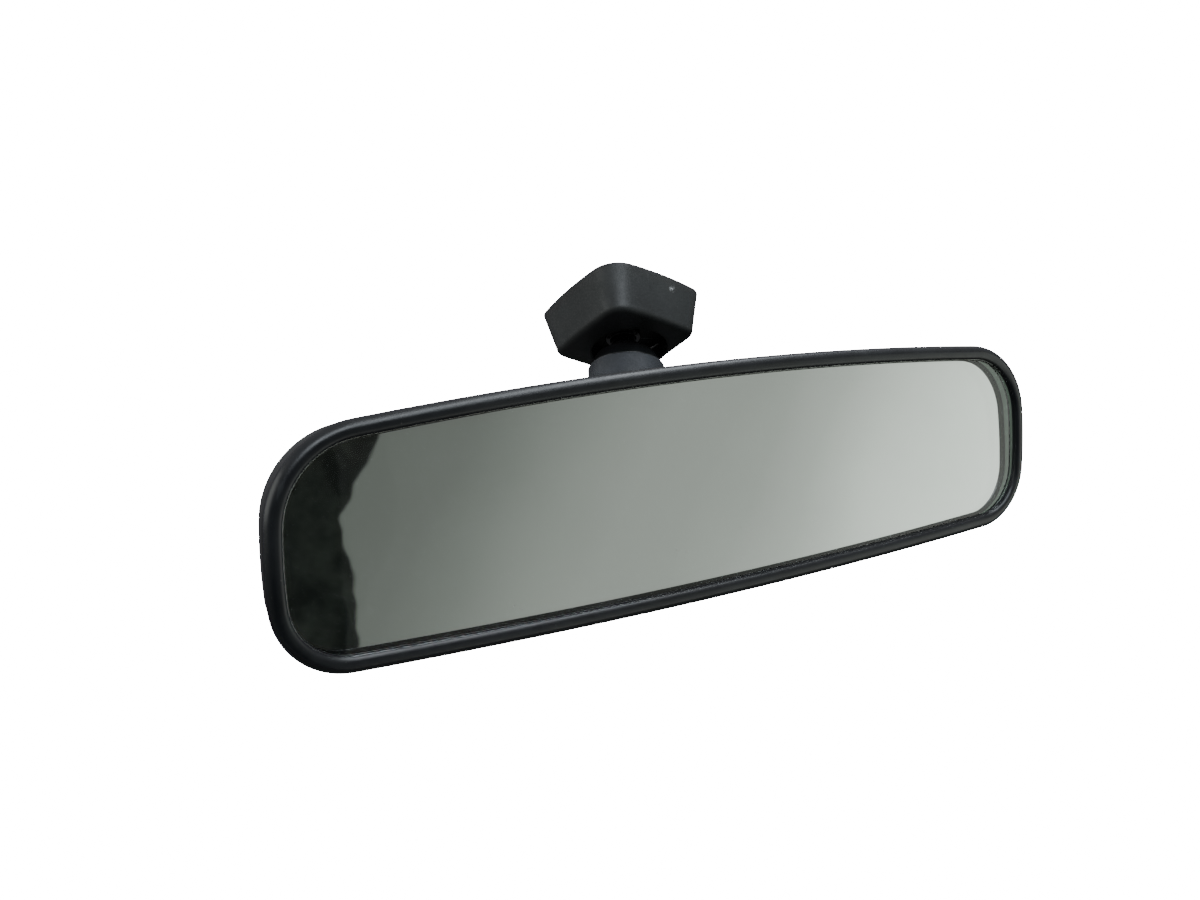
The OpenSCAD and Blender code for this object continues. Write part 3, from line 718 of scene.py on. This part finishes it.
# Inside the case: ribs, the lugs of the two pins, and the toggle spring's post
RIB_XS = mm(-78, -54, 54, 78)
RIB_Y, RIB_Z, RIB_SIZE = 62 * MM, -4 * MM, mm(1.6, 100, 38)
HINGE_LUG_X, HINGE_LUG_Y, HINGE_LUG_LIFT = mm(26.7, 16.1, 7)
HINGE_LUG_SIZE, HINGE_BORE_HALF = mm(2, 7, 20), 31.7 * MM
LEVER_LUG_X, LEVER_LUG_DROP = mm(13.4, 8.5)
LEVER_LUG_SIZE, LEVER_BORE_HALF = mm(2, 6, 23), 17 * MM
POST_AT, POST_SIZE = (0, 29.5 * MM, -33.5 * MM), mm(11, 5, 20)
LEVER_SLOT_Z, LEVER_SLOT_SIZE = -30 * MM, mm(24, 13, 9)
OPENING_FROM, OPENING_TO = mm(-11, 60)
BEAD_R = 0.85 * MM
# The tongue that goes into the bezel, as (inset, depth, rounding) in mm
TONGUE = [(4.8, 10, .2), (4.8, 13.2, .2), (2.9, 13.2, .2), (2.9, 12.1, .1), (3.2, 12.1, .1),
          (3.2, 10, .2)]


def shrink(roundness, a):
    """How far the back form has drawn in at an angle: 1 at its rim."""
    return roundness * math.cos(a) + (1 - roundness) * (1 - math.sin(a))


def back_ring(inset, y0, y1, a):
    """One ring of the back form, from its rim at depth y0 towards its pole at y1."""
    return [(p.x * shrink(ROUND_X, a), y0 + (y1 - y0) * math.sin(a),
             p.y * shrink(ROUND_Z, a) - BACK_DROP * math.sin(a)) for p in outline(inset)]


def back_solid(inset, y1):
    """The closed back form, as a helper."""
    rings = [back_ring(inset, BEZEL_DEPTH, y1, a) for a in BACK_ANGLES]
    verts = [v for ring in rings for v in ring]
    return loose(verts, capped_faces(len(rings), RING), IN_HEAD)


def pin_bore(pin, half):
    """A pin's bore along X through the head, as a helper."""
    return loose(*bar_mesh(PIN_R, -half, half), along_x(head_at + Vector((0, pin.y, pin.z))))


def head_box(centre, size):
    """A box in the head, as a helper."""
    low = [c - s / 2 for c, s in zip(centre, size)]
    high = [c + s / 2 for c, s in zip(centre, size)]
    return loose(*box_mesh(low, high), IN_HEAD)


def build_case():
    """The shell with its ribs and lugs, bored for the arm, the lever and the two pins."""
    out, wall_in = BEZEL_DRAW, BEZEL_DRAW + CASE_WALL
    rings = [back_ring(out + SEAM, BEZEL_DEPTH, BACK_Y, 0),
             back_ring(out + SEAM * 0.3, BEZEL_DEPTH + SEAM * 0.3, BACK_Y, 0)]
    rings += [back_ring(out, BEZEL_DEPTH + SEAM, BACK_Y, a) for a in BACK_ANGLES]
    inner = [back_ring(wall_in, BEZEL_DEPTH + SEAM, BACK_Y - CASE_WALL, a) for a in BACK_ANGLES]
    inner.insert(0, back_ring(wall_in, BEZEL_DEPTH, BACK_Y - CASE_WALL, 0))
    verts = [v for ring in rings for v in ring]
    outer_last = (len(rings) - 1) * RING
    faces = [tuple(range(outer_last, outer_last + RING))] + loop_faces(len(rings), RING, False)
    start = len(verts)
    verts += [v for ring in inner for v in ring]
    inner_last = start + (len(inner) - 1) * RING
    faces.append(tuple(range(inner_last, inner_last + RING)))
    faces += [tuple(start + i for i in face) for face in loop_faces(len(inner), RING, False)]
    faces += [(j, (j + 1) % RING, start + (j + 1) % RING, start + j) for j in range(RING)]
    case = loose(verts, faces, IN_HEAD)
    case.name = "case_shell"
    surface = case.data.copy()

    ribs = [head_box((x, RIB_Y, RIB_Z), RIB_SIZE) for x in RIB_XS]
    for side in (-1, 1):
        ribs.append(head_box((side * HINGE_LUG_X, HINGE_LUG_Y, PIVOT.z + HINGE_LUG_LIFT),
                             HINGE_LUG_SIZE))
        ribs.append(head_box((side * LEVER_LUG_X, LEVER_PIN.y, LEVER_PIN.z - LEVER_LUG_DROP),
                             LEVER_LUG_SIZE))
    ribs.append(head_box(POST_AT, POST_SIZE))
    for rib in ribs:
        combined(rib, "INTERSECT", back_solid(out + CASE_WALL / 2, BACK_Y - CASE_WALL / 2))
        combined(case, "UNION", rib)
    combined(case, "DIFFERENCE",
             loose(*bar_mesh(OPENING_R, OPENING_FROM, OPENING_TO, 96), AT_STUD),
             head_box((0, LEVER_PIN.y, LEVER_SLOT_Z), LEVER_SLOT_SIZE),
             pin_bore(PIVOT, HINGE_BORE_HALF), pin_bore(LEVER_PIN, LEVER_BORE_HALF))
    dress(case, "head", "case", ("rear_case",), 32)
    build_opening_bead(surface)
    section = rounded(in_mm(TONGUE), 3)
    head_band("case_tongue", section, "case", ("rear_case",))


def build_opening_bead(surface):
    """A rolled bead round the arm's opening, laid on the back form's surface."""
    bm = bmesh.new()
    bm.from_mesh(surface)
    tree = BVHTree.FromBMesh(bm)
    bm.free()
    path = []
    for a in turn_of(120):
        start = AT_STUD @ Vector((OPENING_R * math.cos(a), OPENING_R * math.sin(a), OPENING_TO))
        hit = tree.ray_cast(start, -stud_dir)[0]
        if hit:
            path.append(hit)
    swept("opening_bead", path, BEAD_R, True, "head", "case", ("rear_case",),
          12, stud_dir)


# ---- windscreen mount

# The cover's outlines at the windscreen and at its lower face: half size, bow, corner radii
TOP_SQUARE = 19.7 * MM, 1.75 * MM, [r * MM for r in (5.3, 4.6, 8.8, 5.3)]
LOW_SQUARE = 16.05 * MM, 0.5 * MM, [r * MM for r in (3.2, 3.2, 6.2, 3.2)]
COVER_EDGE, COVER_RIM, MOUTH = mm(2.0, 0.3, 0.45)
COVER_COUNT = 320                # points on each of its rings
# The clips that hold it to the base, as (x, y, rounding) in mm
COVER_CLIP = [(14.6, -3, .3), (17, -3, .1), (17, 3, .1), (14.6, 3, .3)]
COVER_CLIP_LOW, COVER_CLIP_HIGH = mm(-7.9, -7.1)


def bowed_square(half, bow, corners, steps=16):
    """A square with bowed sides and four round corners, as a dense closed outline."""
    r = (half * half + bow * bow) / (2 * bow)
    c = half - r

    def corner(corner_r):
        q = (c + math.sqrt(2 * (r - corner_r) ** 2 - c * c)) / 2
        return q, math.atan2(q, q - c)

    points = []
    for k, corner_r in enumerate(corners):
        q, a = corner(corner_r)
        side = arc(Vector((c, 0)), r, -corner(corners[k - 1])[1], a, steps * 2)
        side += arc(Vector((q, q)), corner_r, a, math.pi / 2 - a, steps)
        points += [Matrix.Rotation(math.pi / 2 * k, 2) @ p for p in side]
    return points


def polar(points, count):
    """Distances from the recess's centre to a closed outline, in even steps of angle."""
    moved = [p - RECESS_AT for p in points]
    out = []
    for a in turn_of(count):
        u, v = Vector((math.cos(a), math.sin(a))), Vector((-math.sin(a), math.cos(a)))
        best = 0
        for i, p in enumerate(moved):
            q = moved[(i + 1) % len(moved)]
            sp, sq = p.dot(v), q.dot(v)
            if (sp <= 0) != (sq <= 0):
                reach = (p + (q - p) * (sp / (sp - sq))).dot(u)
                best = max(best, reach)
        out.append(best)
    return out


def cover_outline(square, inset):
    half, bow, corners = square
    return polar(bowed_square(half - inset, bow, corners), COVER_COUNT)


def between(t, top, low):
    """An outline a share t of the way from one to another."""
    return [a + (b - a) * t for a, b in zip(top, low)]


def build_cover():
    """One closed loop of rings: down the outside, into the recess and up the inside."""
    top_out, low_out = cover_outline(TOP_SQUARE, 0), cover_outline(LOW_SQUARE, 0)
    top_in, low_in = cover_outline(TOP_SQUARE, COVER_WALL), cover_outline(LOW_SQUARE, COVER_WALL)
    top_z, low_z = -COVER_LIFT, -COVER_H
    edge, rim, mouth = COVER_EDGE, COVER_RIM, MOUTH

    def outside(z):
        return between((z - top_z) / (low_z - top_z), top_out, low_out)

    rings = [([r - rim for r in top_out], top_z),
             ([r - rim * 0.3 for r in top_out], top_z - rim * 0.3)]
    for i in range(13):
        z = top_z - rim + (low_z + edge - top_z + rim) * i / 12
        rings.append((outside(z), z))
    base = outside(low_z + edge)
    for a in quarter(6, 1):
        rings.append(([r - edge * (1 - math.cos(a)) for r in base],
                      low_z + edge - edge * math.sin(a)))
    for share in (0.35, 0.7):
        flat = [r - edge for r in low_out]
        rings.append(([r + (RECESS_R + mouth - r) * share for r in flat], low_z))
    for a in quarter(5):
        rings.append(([RECESS_R + mouth * (1 - math.sin(a))] * COVER_COUNT,
                      low_z + mouth * (1 - math.cos(a))))
    deep = low_z + RECESS_DEPTH
    collar = [max(RECESS_R + 0.4 * MM, min(RECESS_R + COVER_WALL, r - 0.05 * MM))
              for r in between(0.88, top_in, low_in)]
    shoulder = [max(a, c + 0.02 * MM) for a, c in zip(between(0.89, top_in, low_in), collar)]
    rings += [([RECESS_R] * COVER_COUNT, deep - 0.2 * MM),
              ([RECESS_R + 0.2 * MM] * COVER_COUNT, deep),
              ([r - 0.1 * MM for r in collar], deep),
              (collar, deep - 0.3 * MM),
              (collar, low_z + COVER_WALL),
              (shoulder, low_z + COVER_WALL),
              (top_in, top_z)]
    verts = []
    for radii, z in rings:
        verts += [(RECESS_AT.x + r * math.cos(a), RECESS_AT.y + r * math.sin(a), z)
                  for a, r in zip(turn_of(COVER_COUNT), radii)]
    faces = loop_faces(len(rings), COVER_COUNT, True)
    matrix = IN_MOUNT @ Matrix.Rotation(COVER_TURN, 4, "Z")
    piece("mount_cover_shell", verts, faces, matrix, "mount", "cover",
          ("mount_cover",), 30)
    for side, name in ((0, "a"), (math.pi, "b")):
        block("cover_clip_" + name, in_mm(COVER_CLIP), COVER_CLIP_LOW, COVER_CLIP_HIGH,
              matrix @ Matrix.Rotation(side, 4, "Z"), "mount", "cover",
              0.12 * MM, ("mount_cover",))


# ---- ball studs

def ball_points(neck_r, steps=40):
    """The ball's half section from its far pole up to the neck, with a fillet."""
    leave = math.asin(min(1, (neck_r + 0.75 * MM) / BALL_R))
    top = math.pi - leave
    points = [Vector((BALL_R * math.sin(a), -BALL_R * math.cos(a)))
              for a in (top * i / steps for i in range(steps + 1))]
    corner_z = math.sqrt(BALL_R ** 2 - neck_r ** 2)
    fillet = (neck_r + 0.02 * MM, corner_z), (neck_r, corner_z + 1.1 * MM)
    points += bezier(points[-1], *fillet, 6)[1:]
    return [(p.x, p.y, 0) for p in points]


def build_upper_stud():
    base = IN_MOUNT @ Matrix.Translation((0, ball_in_mount.y, -BALL_DROP))
    up, flange_t, shank_r = BALL_DROP - BASE_H, 1.8 * MM, UPPER_NECK - 1 * MM
    shank_end = BALL_DROP - SOCKET_DEPTH - POCKET + 0.8 * MM
    section = ball_points(UPPER_NECK)
    section += [(UPPER_NECK, up - flange_t, 0.8 * MM), (UPPER_FLANGE, up - flange_t, 0.4 * MM),
                (UPPER_FLANGE, up, 0.15 * MM), (shank_r, up, 0),
                (shank_r, shank_end, 0.5 * MM), (0, shank_end, 0)]
    lathe("upper_ball", section, base, "mount", "ball", ("upper_ball_stud",))


def build_lower_stud():
    end = STUD_SEAT + BOSS_T + 3.5 * MM
    under = STUD_SEAT - 2 * MM
    flip = AT_STUD @ Matrix.Rotation(math.pi, 4, "X")
    section = ball_points(LOWER_NECK)
    section += [(LOWER_NECK, under, 0.8 * MM), (LOWER_FLANGE, under, 0.4 * MM),
                (LOWER_FLANGE, STUD_SEAT, 0.15 * MM), (2.35 * MM, STUD_SEAT, 0)]
    z = STUD_SEAT + THREAD_PITCH
    while z < end - 0.9 * MM:
        section += [(THREAD_ROOT, z, 0), (THREAD_R, z + THREAD_PITCH / 2, 0),
                    (THREAD_ROOT, z + THREAD_PITCH, 0)]
        z += THREAD_PITCH
    section += [(1.9 * MM, end, 0.1 * MM), (0, end, 0)]
    lathe("lower_ball", section, flip, "bracket", "ball", ("lower_ball_stud",))


# ---- arm

def build_arm():
    """The tube, the collars crimped round its ends, and the spring between the cups."""
    tube = [(TUBE_R, 0, 0.35 * MM), (TUBE_R, arm_span - 2 * RIM_BACK, 0.35 * MM),
            (BORE_R, arm_span - 2 * RIM_BACK, 0.2 * MM), (BORE_R, 0, 0.2 * MM)]
    start = along(lower_ball + arm_dir * RIM_BACK, arm_dir)
    lathe("arm_tube_shell", tube, start, "arm", "tube", ("arm_tube",), 128)
    spigot_r = BORE_R - 0.05 * MM
    low, high = -RIM_BACK - SPIGOT, LIP_PAST
    collar = [(spigot_r, low, 0.2 * MM), (spigot_r, -RIM_BACK, 0),
              (TUBE_R - 0.25 * MM, -RIM_BACK, 0.35 * MM), (LIP_R, high, 0.55 * MM)]
    for i in range(17):
        z = high + (low - high) * i / 16
        collar.append((math.sqrt(CUP_R ** 2 - z ** 2), z, 0.25 * MM if i == 0 else 0))
    for name, at in (("upper_collar", AT_UPPER), ("lower_collar", AT_LOWER)):
        lathe(name + "_ring", collar, at, "arm", "collar", (name,), 128)
    build_spring(along(lower_ball + arm_dir * SEAT_END, arm_dir))


def build_spring(base):
    """A round-wire helix with closed ends, between the two cups."""
    room = arm_span - 2 * SEAT_END
    live = room - 2 * COIL_WIRE - 2 * COIL_DEAD * COIL_CREEP
    path, steps = [], 56
    for i in range(int(COIL_TURNS * steps) + 1):
        t = i / steps
        share = min(max((t - COIL_DEAD) / (COIL_TURNS - 2 * COIL_DEAD), 0), 1)
        dead = COIL_CREEP * (min(t, COIL_DEAD) + max(0, t - COIL_TURNS + COIL_DEAD))
        a = 2 * math.pi * t
        path.append(base @ Vector((COIL_R * math.cos(a), COIL_R * math.sin(a),
                                   COIL_WIRE + dead + live * share)))
    swept("pressure_coil", path, COIL_WIRE, False, "arm", "spring",
          ("pressure_spring",), 14, arm_dir)


# ---- small parts

# CAD nodes kept as they are, with softened edges: node, body, slot, material, softening in mm
COPIES = [
    ("mount_base", "mount", "zinc", "zinc", 0.3),
    ("lock_spring", "mount", "spring_steel", "spring", 0.08),
    ("upper_liner", "upper_ring", "nylon", "nylon", 0.12),
    ("lower_liner", "lower_ring", "nylon", "nylon", 0.12),
    ("upper_seat", "arm", "nylon", "nylon", 0.25),
    ("lower_seat", "cup", "nylon", "nylon", 0.25),
    ("pivot_bracket", "bracket", "bracket_zinc", "bracket", 0.4),
    ("lock_washer", "bracket", "plated_steel", "plated", 0.1),
    ("stud_nut", "bracket", "plated_steel", "plated", 0.3),
    ("toggle_spring", "head", "spring_steel", "spring", 0.1),
]
GROOVE_R, GROOVE_HALF = mm(1.15, 0.45)
RING_R, RING_HALF = mm(2.8, 0.4)
RING_BORE, RING_LOBE = mm(1.2, 0.6)
RING_GAP = 38                    # half of the ring's gap, in degrees
TAB_RIB_R, TAB_RIB_HALF = mm(0.42, 8.6)
TAB_TURN = math.radians(20)      # the lever's turn at rest


def head_pin(name, node, at, groove_x=0):
    """A straight pin along X with chamfered ends, and two grooves if it takes clips."""
    low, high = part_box(node)
    half = (high.x - low.x) / 2
    section = [(0, -half, 0), (PIN_R, -half, 0.35 * MM)]
    for x in (-groove_x, groove_x) if groove_x else ():
        section += [(PIN_R, x - GROOVE_HALF, 0), (GROOVE_R, x - GROOVE_HALF, 0),
                    (GROOVE_R, x + GROOVE_HALF, 0), (PIN_R, x + GROOVE_HALF, 0)]
    section += [(PIN_R, half, 0.35 * MM), (0, half, 0)]
    lathe(name, section, along_x(head_at + Vector((0, at.y, at.z))), "head",
          "plated", (node,), 48)


def build_clips():
    """Open retaining rings on the hinge pin."""
    angles = [math.radians(RING_GAP + (360 - 2 * RING_GAP) * k / 40) for k in range(41)]
    points = [(RING_R * math.cos(a), RING_R * math.sin(a), 0) for a in angles]
    for a in reversed(angles):
        r = RING_BORE + RING_LOBE * (0.5 + 0.5 * math.cos(3 * a))
        points.append((r * math.cos(a), r * math.sin(a), 0))
    for side, name in ((-1, "left"), (1, "right")):
        at = head_at + Vector((side * CLIP_X, PIVOT.y, PIVOT.z))
        block("hinge_clip_" + name, points, -RING_HALF, RING_HALF, along_x(at), "head",
              "spring", 0.1 * MM, ("pin_clips",))


def build_screws():
    """Pan-head screws with a crossed recess, which hold the toggle spring."""
    low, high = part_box("spring_screws")
    middle, tip = (low + high) / 2, low.z - high.z
    section = [(0, 0, 0), (SCREW_HEAD_R, 0, 0.55 * MM), (SCREW_HEAD_R, -1 * MM, 0.1 * MM),
               (0.9 * MM, -1 * MM, 0)]
    z = -1.4 * MM
    while z > tip + 0.6 * MM:
        section += [(SCREW_R, z, 0), (SCREW_ROOT, z - 0.2 * MM, 0)]
        z -= 0.4 * MM
    section += [(0.3 * MM, tip, 0), (0, tip, 0)]
    for side, name in ((-1, "left"), (1, "right")):
        at = Matrix.Translation((middle.x + side * SCREW_X, middle.y, high.z))
        screw = lathe("spring_screw_" + name, section, at, "head", "plated",
                      ("spring_screws",), 48)
        for size in ((1.9, 0.42, 0.9), (0.42, 1.9, 0.9)):
            half = Vector(size) * MM / 2
            combined(screw, "DIFFERENCE", loose(*box_mesh(-half, half), at))


def build_rivets():
    """The lock spring's rivets, with their heads in the base's pocket."""
    top = -SOCKET_DEPTH - POCKET + 0.4 * MM
    end = top + 0.8 * MM
    section = [(0, -BASE_H, 0), (RIVET_R, -BASE_H, 0.1 * MM), (RIVET_R, top, 0),
               (RIVET_HEAD_R, top, 0.1 * MM), (RIVET_HEAD_R, end, 0.6 * MM), (0, end, 0)]
    for side, name in ((-1, "left"), (1, "right")):
        at = IN_MOUNT @ Matrix.Translation((side * RIVET_X, RIVET_Y, 0))
        lathe("spring_rivet_" + name, section, at, "mount", "collar",
              ("spring_rivets",), 48)


def build_lever():
    """The flip lever, with its finger tab's ribs."""
    softened_copy("flip_lever", "lever", "lever", 0.45 * MM, "flip_lever_body")
    tilt = IN_HEAD @ Matrix.Translation(LEVER_PIN) @ Matrix.Rotation(TAB_TURN, 4, "X")
    for face, side in (("front", -1), ("back", 1)):
        for i in range(4):
            across = along_x((0, side * 1.5 * MM, (-8.2 - 1.55 * i) * MM))
            half = TAB_RIB_HALF - 0.25 * MM * i
            rib = [(0, -half, 0), (TAB_RIB_R, -half, 0.3 * MM), (TAB_RIB_R, half, 0.3 * MM),
                   (0, half, 0)]
            lathe("tab_rib_%s_%d" % (face, i + 1), rib, tilt @ across, "lever",
                  "lever", (), 24)


def build_small_parts():
    for node, body, slot, material, softening in COPIES:
        softened_copy(node, body, material, softening * MM)
    head_pin("hinge_pin", "pivot_pin", PIVOT, CLIP_X)
    head_pin("lever_axle", "lever_pin", LEVER_PIN)


# ---- studio

# The card that the glass reflects: greys along it, then its dark end's edge and tones
CARD_Y, CARD_X, CARD_Z = -1.1, (-1.6, 2.6), (-1.3, 0.45)
CARD_GREYS = [(0.0, 0.150), (0.07, 0.165), (0.14, 0.22), (0.24, 0.32), (0.31, 0.37),
              (0.40, 0.39), (0.47, 0.44), (0.55, 0.56), (0.60, 0.70), (0.66, 0.88),
              (0.75, 1.10), (0.84, 1.28), (1.0, 1.36)]
CARD_TINT = 0.96, 1.02, 0.955
DARK_EDGE = 0.217, 0.222
DARK_LOW, DARK_HIGH = (0.006, 0.007, 0.006), (0.024, 0.027, 0.023)
# Name, place, size in metres, watts, colour
LIGHTS = [("key", (-0.1, -0.8, 0.6), (0.7, 0.4), 5, (0.86, 0.93, 1.0)),
          ("crown", (0.45, -0.25, 0.95), (1.3, 0.3), 8, (0.88, 0.94, 1.0)),
          ("left_fill", (-1.0, 0.1, 0.25), (0.8, 0.6), 3, (0.97, 1.0, 0.98)),
          ("back", (-0.3, 0.9, 0.5), (0.9, 0.5), 8, (1, 1, 1))]
# The photograph's viewpoint, fitted to its outlines: lens in mm, place from the head in mm
LENS, VIEW_AT = 34.9, (-184.7, -244.9, 63.5)
VIEW_AHEAD, VIEW_RIGHT = (0.5074, 0.8443, -0.1723), (0.8525, -0.5210, -0.0426)


def glow(name, strength=1.0):
    """A plain emission material, with its tree and its emission node."""
    mat, tree = new_material(name)[:2]
    tree.nodes.clear()
    light = add(tree, "ShaderNodeEmission", Color=(1, 1, 1, 1), Strength=strength)
    out = add(tree, "ShaderNodeOutputMaterial")
    tree.links.new(light.outputs[0], out.inputs["Surface"])
    return mat, tree, light


def stage_mesh(name, verts, faces, material):
    obj = made(name, verts, faces)
    obj.data.materials.append(material)
    return obj


def seen_only_by(obj, camera=False, mirror=False):
    obj.visible_camera = camera
    obj.visible_glossy = obj.visible_transmission = mirror
    obj.visible_diffuse = obj.visible_volume_scatter = obj.visible_shadow = False


def build_surround():
    """A plain white floor and round wall, seen only by the camera."""
    white = glow("backdrop_white", 30.0)[0]
    r, low, high, n = 3.0, -0.6, 3.0, 96
    verts, faces = [(0, 0, low)], []
    levels = [(r * 0.8, low), (r * 0.94, low + 0.08), (r, low + 0.4), (r, high)]
    for radius, z in levels:
        verts += [(radius * math.cos(a), radius * math.sin(a), z) for a in turn_of(n)]
    for k in range(n):
        j = (k + 1) % n
        faces.append((0, 1 + k, 1 + j))
        for i in range(len(levels) - 1):
            a, b = 1 + i * n, 1 + (i + 1) * n
            faces.append((a + k, a + j, b + j, b + k))
    faces.append(tuple(1 + (len(levels) - 1) * n + k for k in range(n)))
    seen_only_by(stage_mesh("pale_floor_and_wall", verts, faces, white), camera=True)


def build_reflection_card():
    """The soft grey surroundings that the glass shows: dark at one side, light at the other.

    Its greys and its dark end's edge roughly follow the tones in the photo's glass.
    """
    mat, tree, light = glow("reflected_wall")
    coords = add(tree, "ShaderNodeTexCoord").outputs["Object"]
    split = add(tree, "ShaderNodeSeparateXYZ")
    tree.links.new(coords, split.inputs[0])
    x, z = split.outputs["X"], split.outputs["Z"]
    place = sum_of(tree, x, product_of(tree, z, -0.75))
    place = sum_of(tree, place, ramp(tree, noise_at(tree, coords, 2.2, 2), 0, 1, -0.1, 0.1))
    shade = add(tree, "ShaderNodeValToRGB")
    elements = shade.color_ramp.elements
    for position, value in CARD_GREYS:
        if 0 < position < 1:
            element = elements.new(position)
        else:
            element = elements[-1 if position else 0]
        element.color = (*(value * c for c in CARD_TINT), 1)
    tree.links.new(ramp(tree, place, 0.35, 1.65, 0, 1), shade.inputs["Fac"])
    edge = sum_of(tree, x, ramp(tree, noise_at(tree, coords, 14, 2), 0, 1, -0.02, 0.02))
    edge = sum_of(tree, edge, ramp(tree, z, -0.15, -0.05, 0, -0.062))
    folds = mix_colour(tree, ramp(tree, noise_at(tree, coords, 22, 5, 0.65), 0.42, 0.72, 0, 1),
                       DARK_LOW, DARK_HIGH)
    lit = mix_colour(tree, ramp(tree, edge, *DARK_EDGE, 0, 1), folds, shade.outputs["Color"])
    tree.links.new(lit, light.inputs["Color"])
    (left, right), (low, high) = CARD_X, CARD_Z
    verts = [(x, CARD_Y, z) for x, z in ((left, low), (right, low), (right, high), (left, high))]
    seen_only_by(stage_mesh("reflection_card", verts, [(0, 1, 2, 3)], mat), mirror=True)


def area(name, at, size, power, colour):
    """A rectangular light that faces the head."""
    light = bpy.data.lights.new(name, "AREA")
    light.shape = "RECTANGLE"
    light.size, light.size_y = size
    light.energy = power
    light.color = colour
    obj = linked(name, light)
    obj.location = at
    obj.rotation_mode = "QUATERNION"
    obj.rotation_quaternion = (head_at - Vector(at)).to_track_quat("-Z", "Y")
    return obj


def build_studio():
    build_surround()
    build_reflection_card()
    world = bpy.data.worlds.new("soft_sky")
    bpy.context.scene.world = world
    world.use_nodes = True
    tree = world.node_tree
    back = tree.nodes["Background"]
    coords = add(tree, "ShaderNodeTexCoord").outputs["Generated"]
    split = add(tree, "ShaderNodeSeparateXYZ")
    tree.links.new(coords, split.inputs[0])
    tree.links.new(ramp(tree, split.outputs["Z"], -0.2, 0.95, 0.09, 0.5), back.inputs["Strength"])
    back.inputs["Color"].default_value = (0.93, 0.97, 1.0, 1)
    lights = [area(*row) for row in LIGHTS]
    lights[-1].visible_glossy = False


def build_camera():
    """The photograph's viewpoint: to the driver's left of the head, a little above it."""
    data = bpy.data.cameras.new("view")
    data.lens = LENS
    data.sensor_width = 36.0
    data.dof.use_dof = False
    obj = linked("view", data)
    obj.location = head_at + Vector(VIEW_AT) * MM
    forward = Vector(VIEW_AHEAD).normalized()
    right = Vector(VIEW_RIGHT)
    right = (right - forward * right.dot(forward)).normalized()
    up = right.cross(forward)
    turn = Matrix((right, up, -forward)).transposed()
    obj.rotation_mode = "QUATERNION"
    obj.rotation_quaternion = turn.to_quaternion()
    bpy.context.scene.camera = obj


build_bezel()
build_glass()
build_film()
build_foam()
build_case()
build_cover()
build_upper_stud()
build_lower_stud()
build_arm()
build_small_parts()
build_clips()
build_screws()
build_rivets()
build_lever()
build_studio()
build_camera()
bpy.context.view_layer.update()
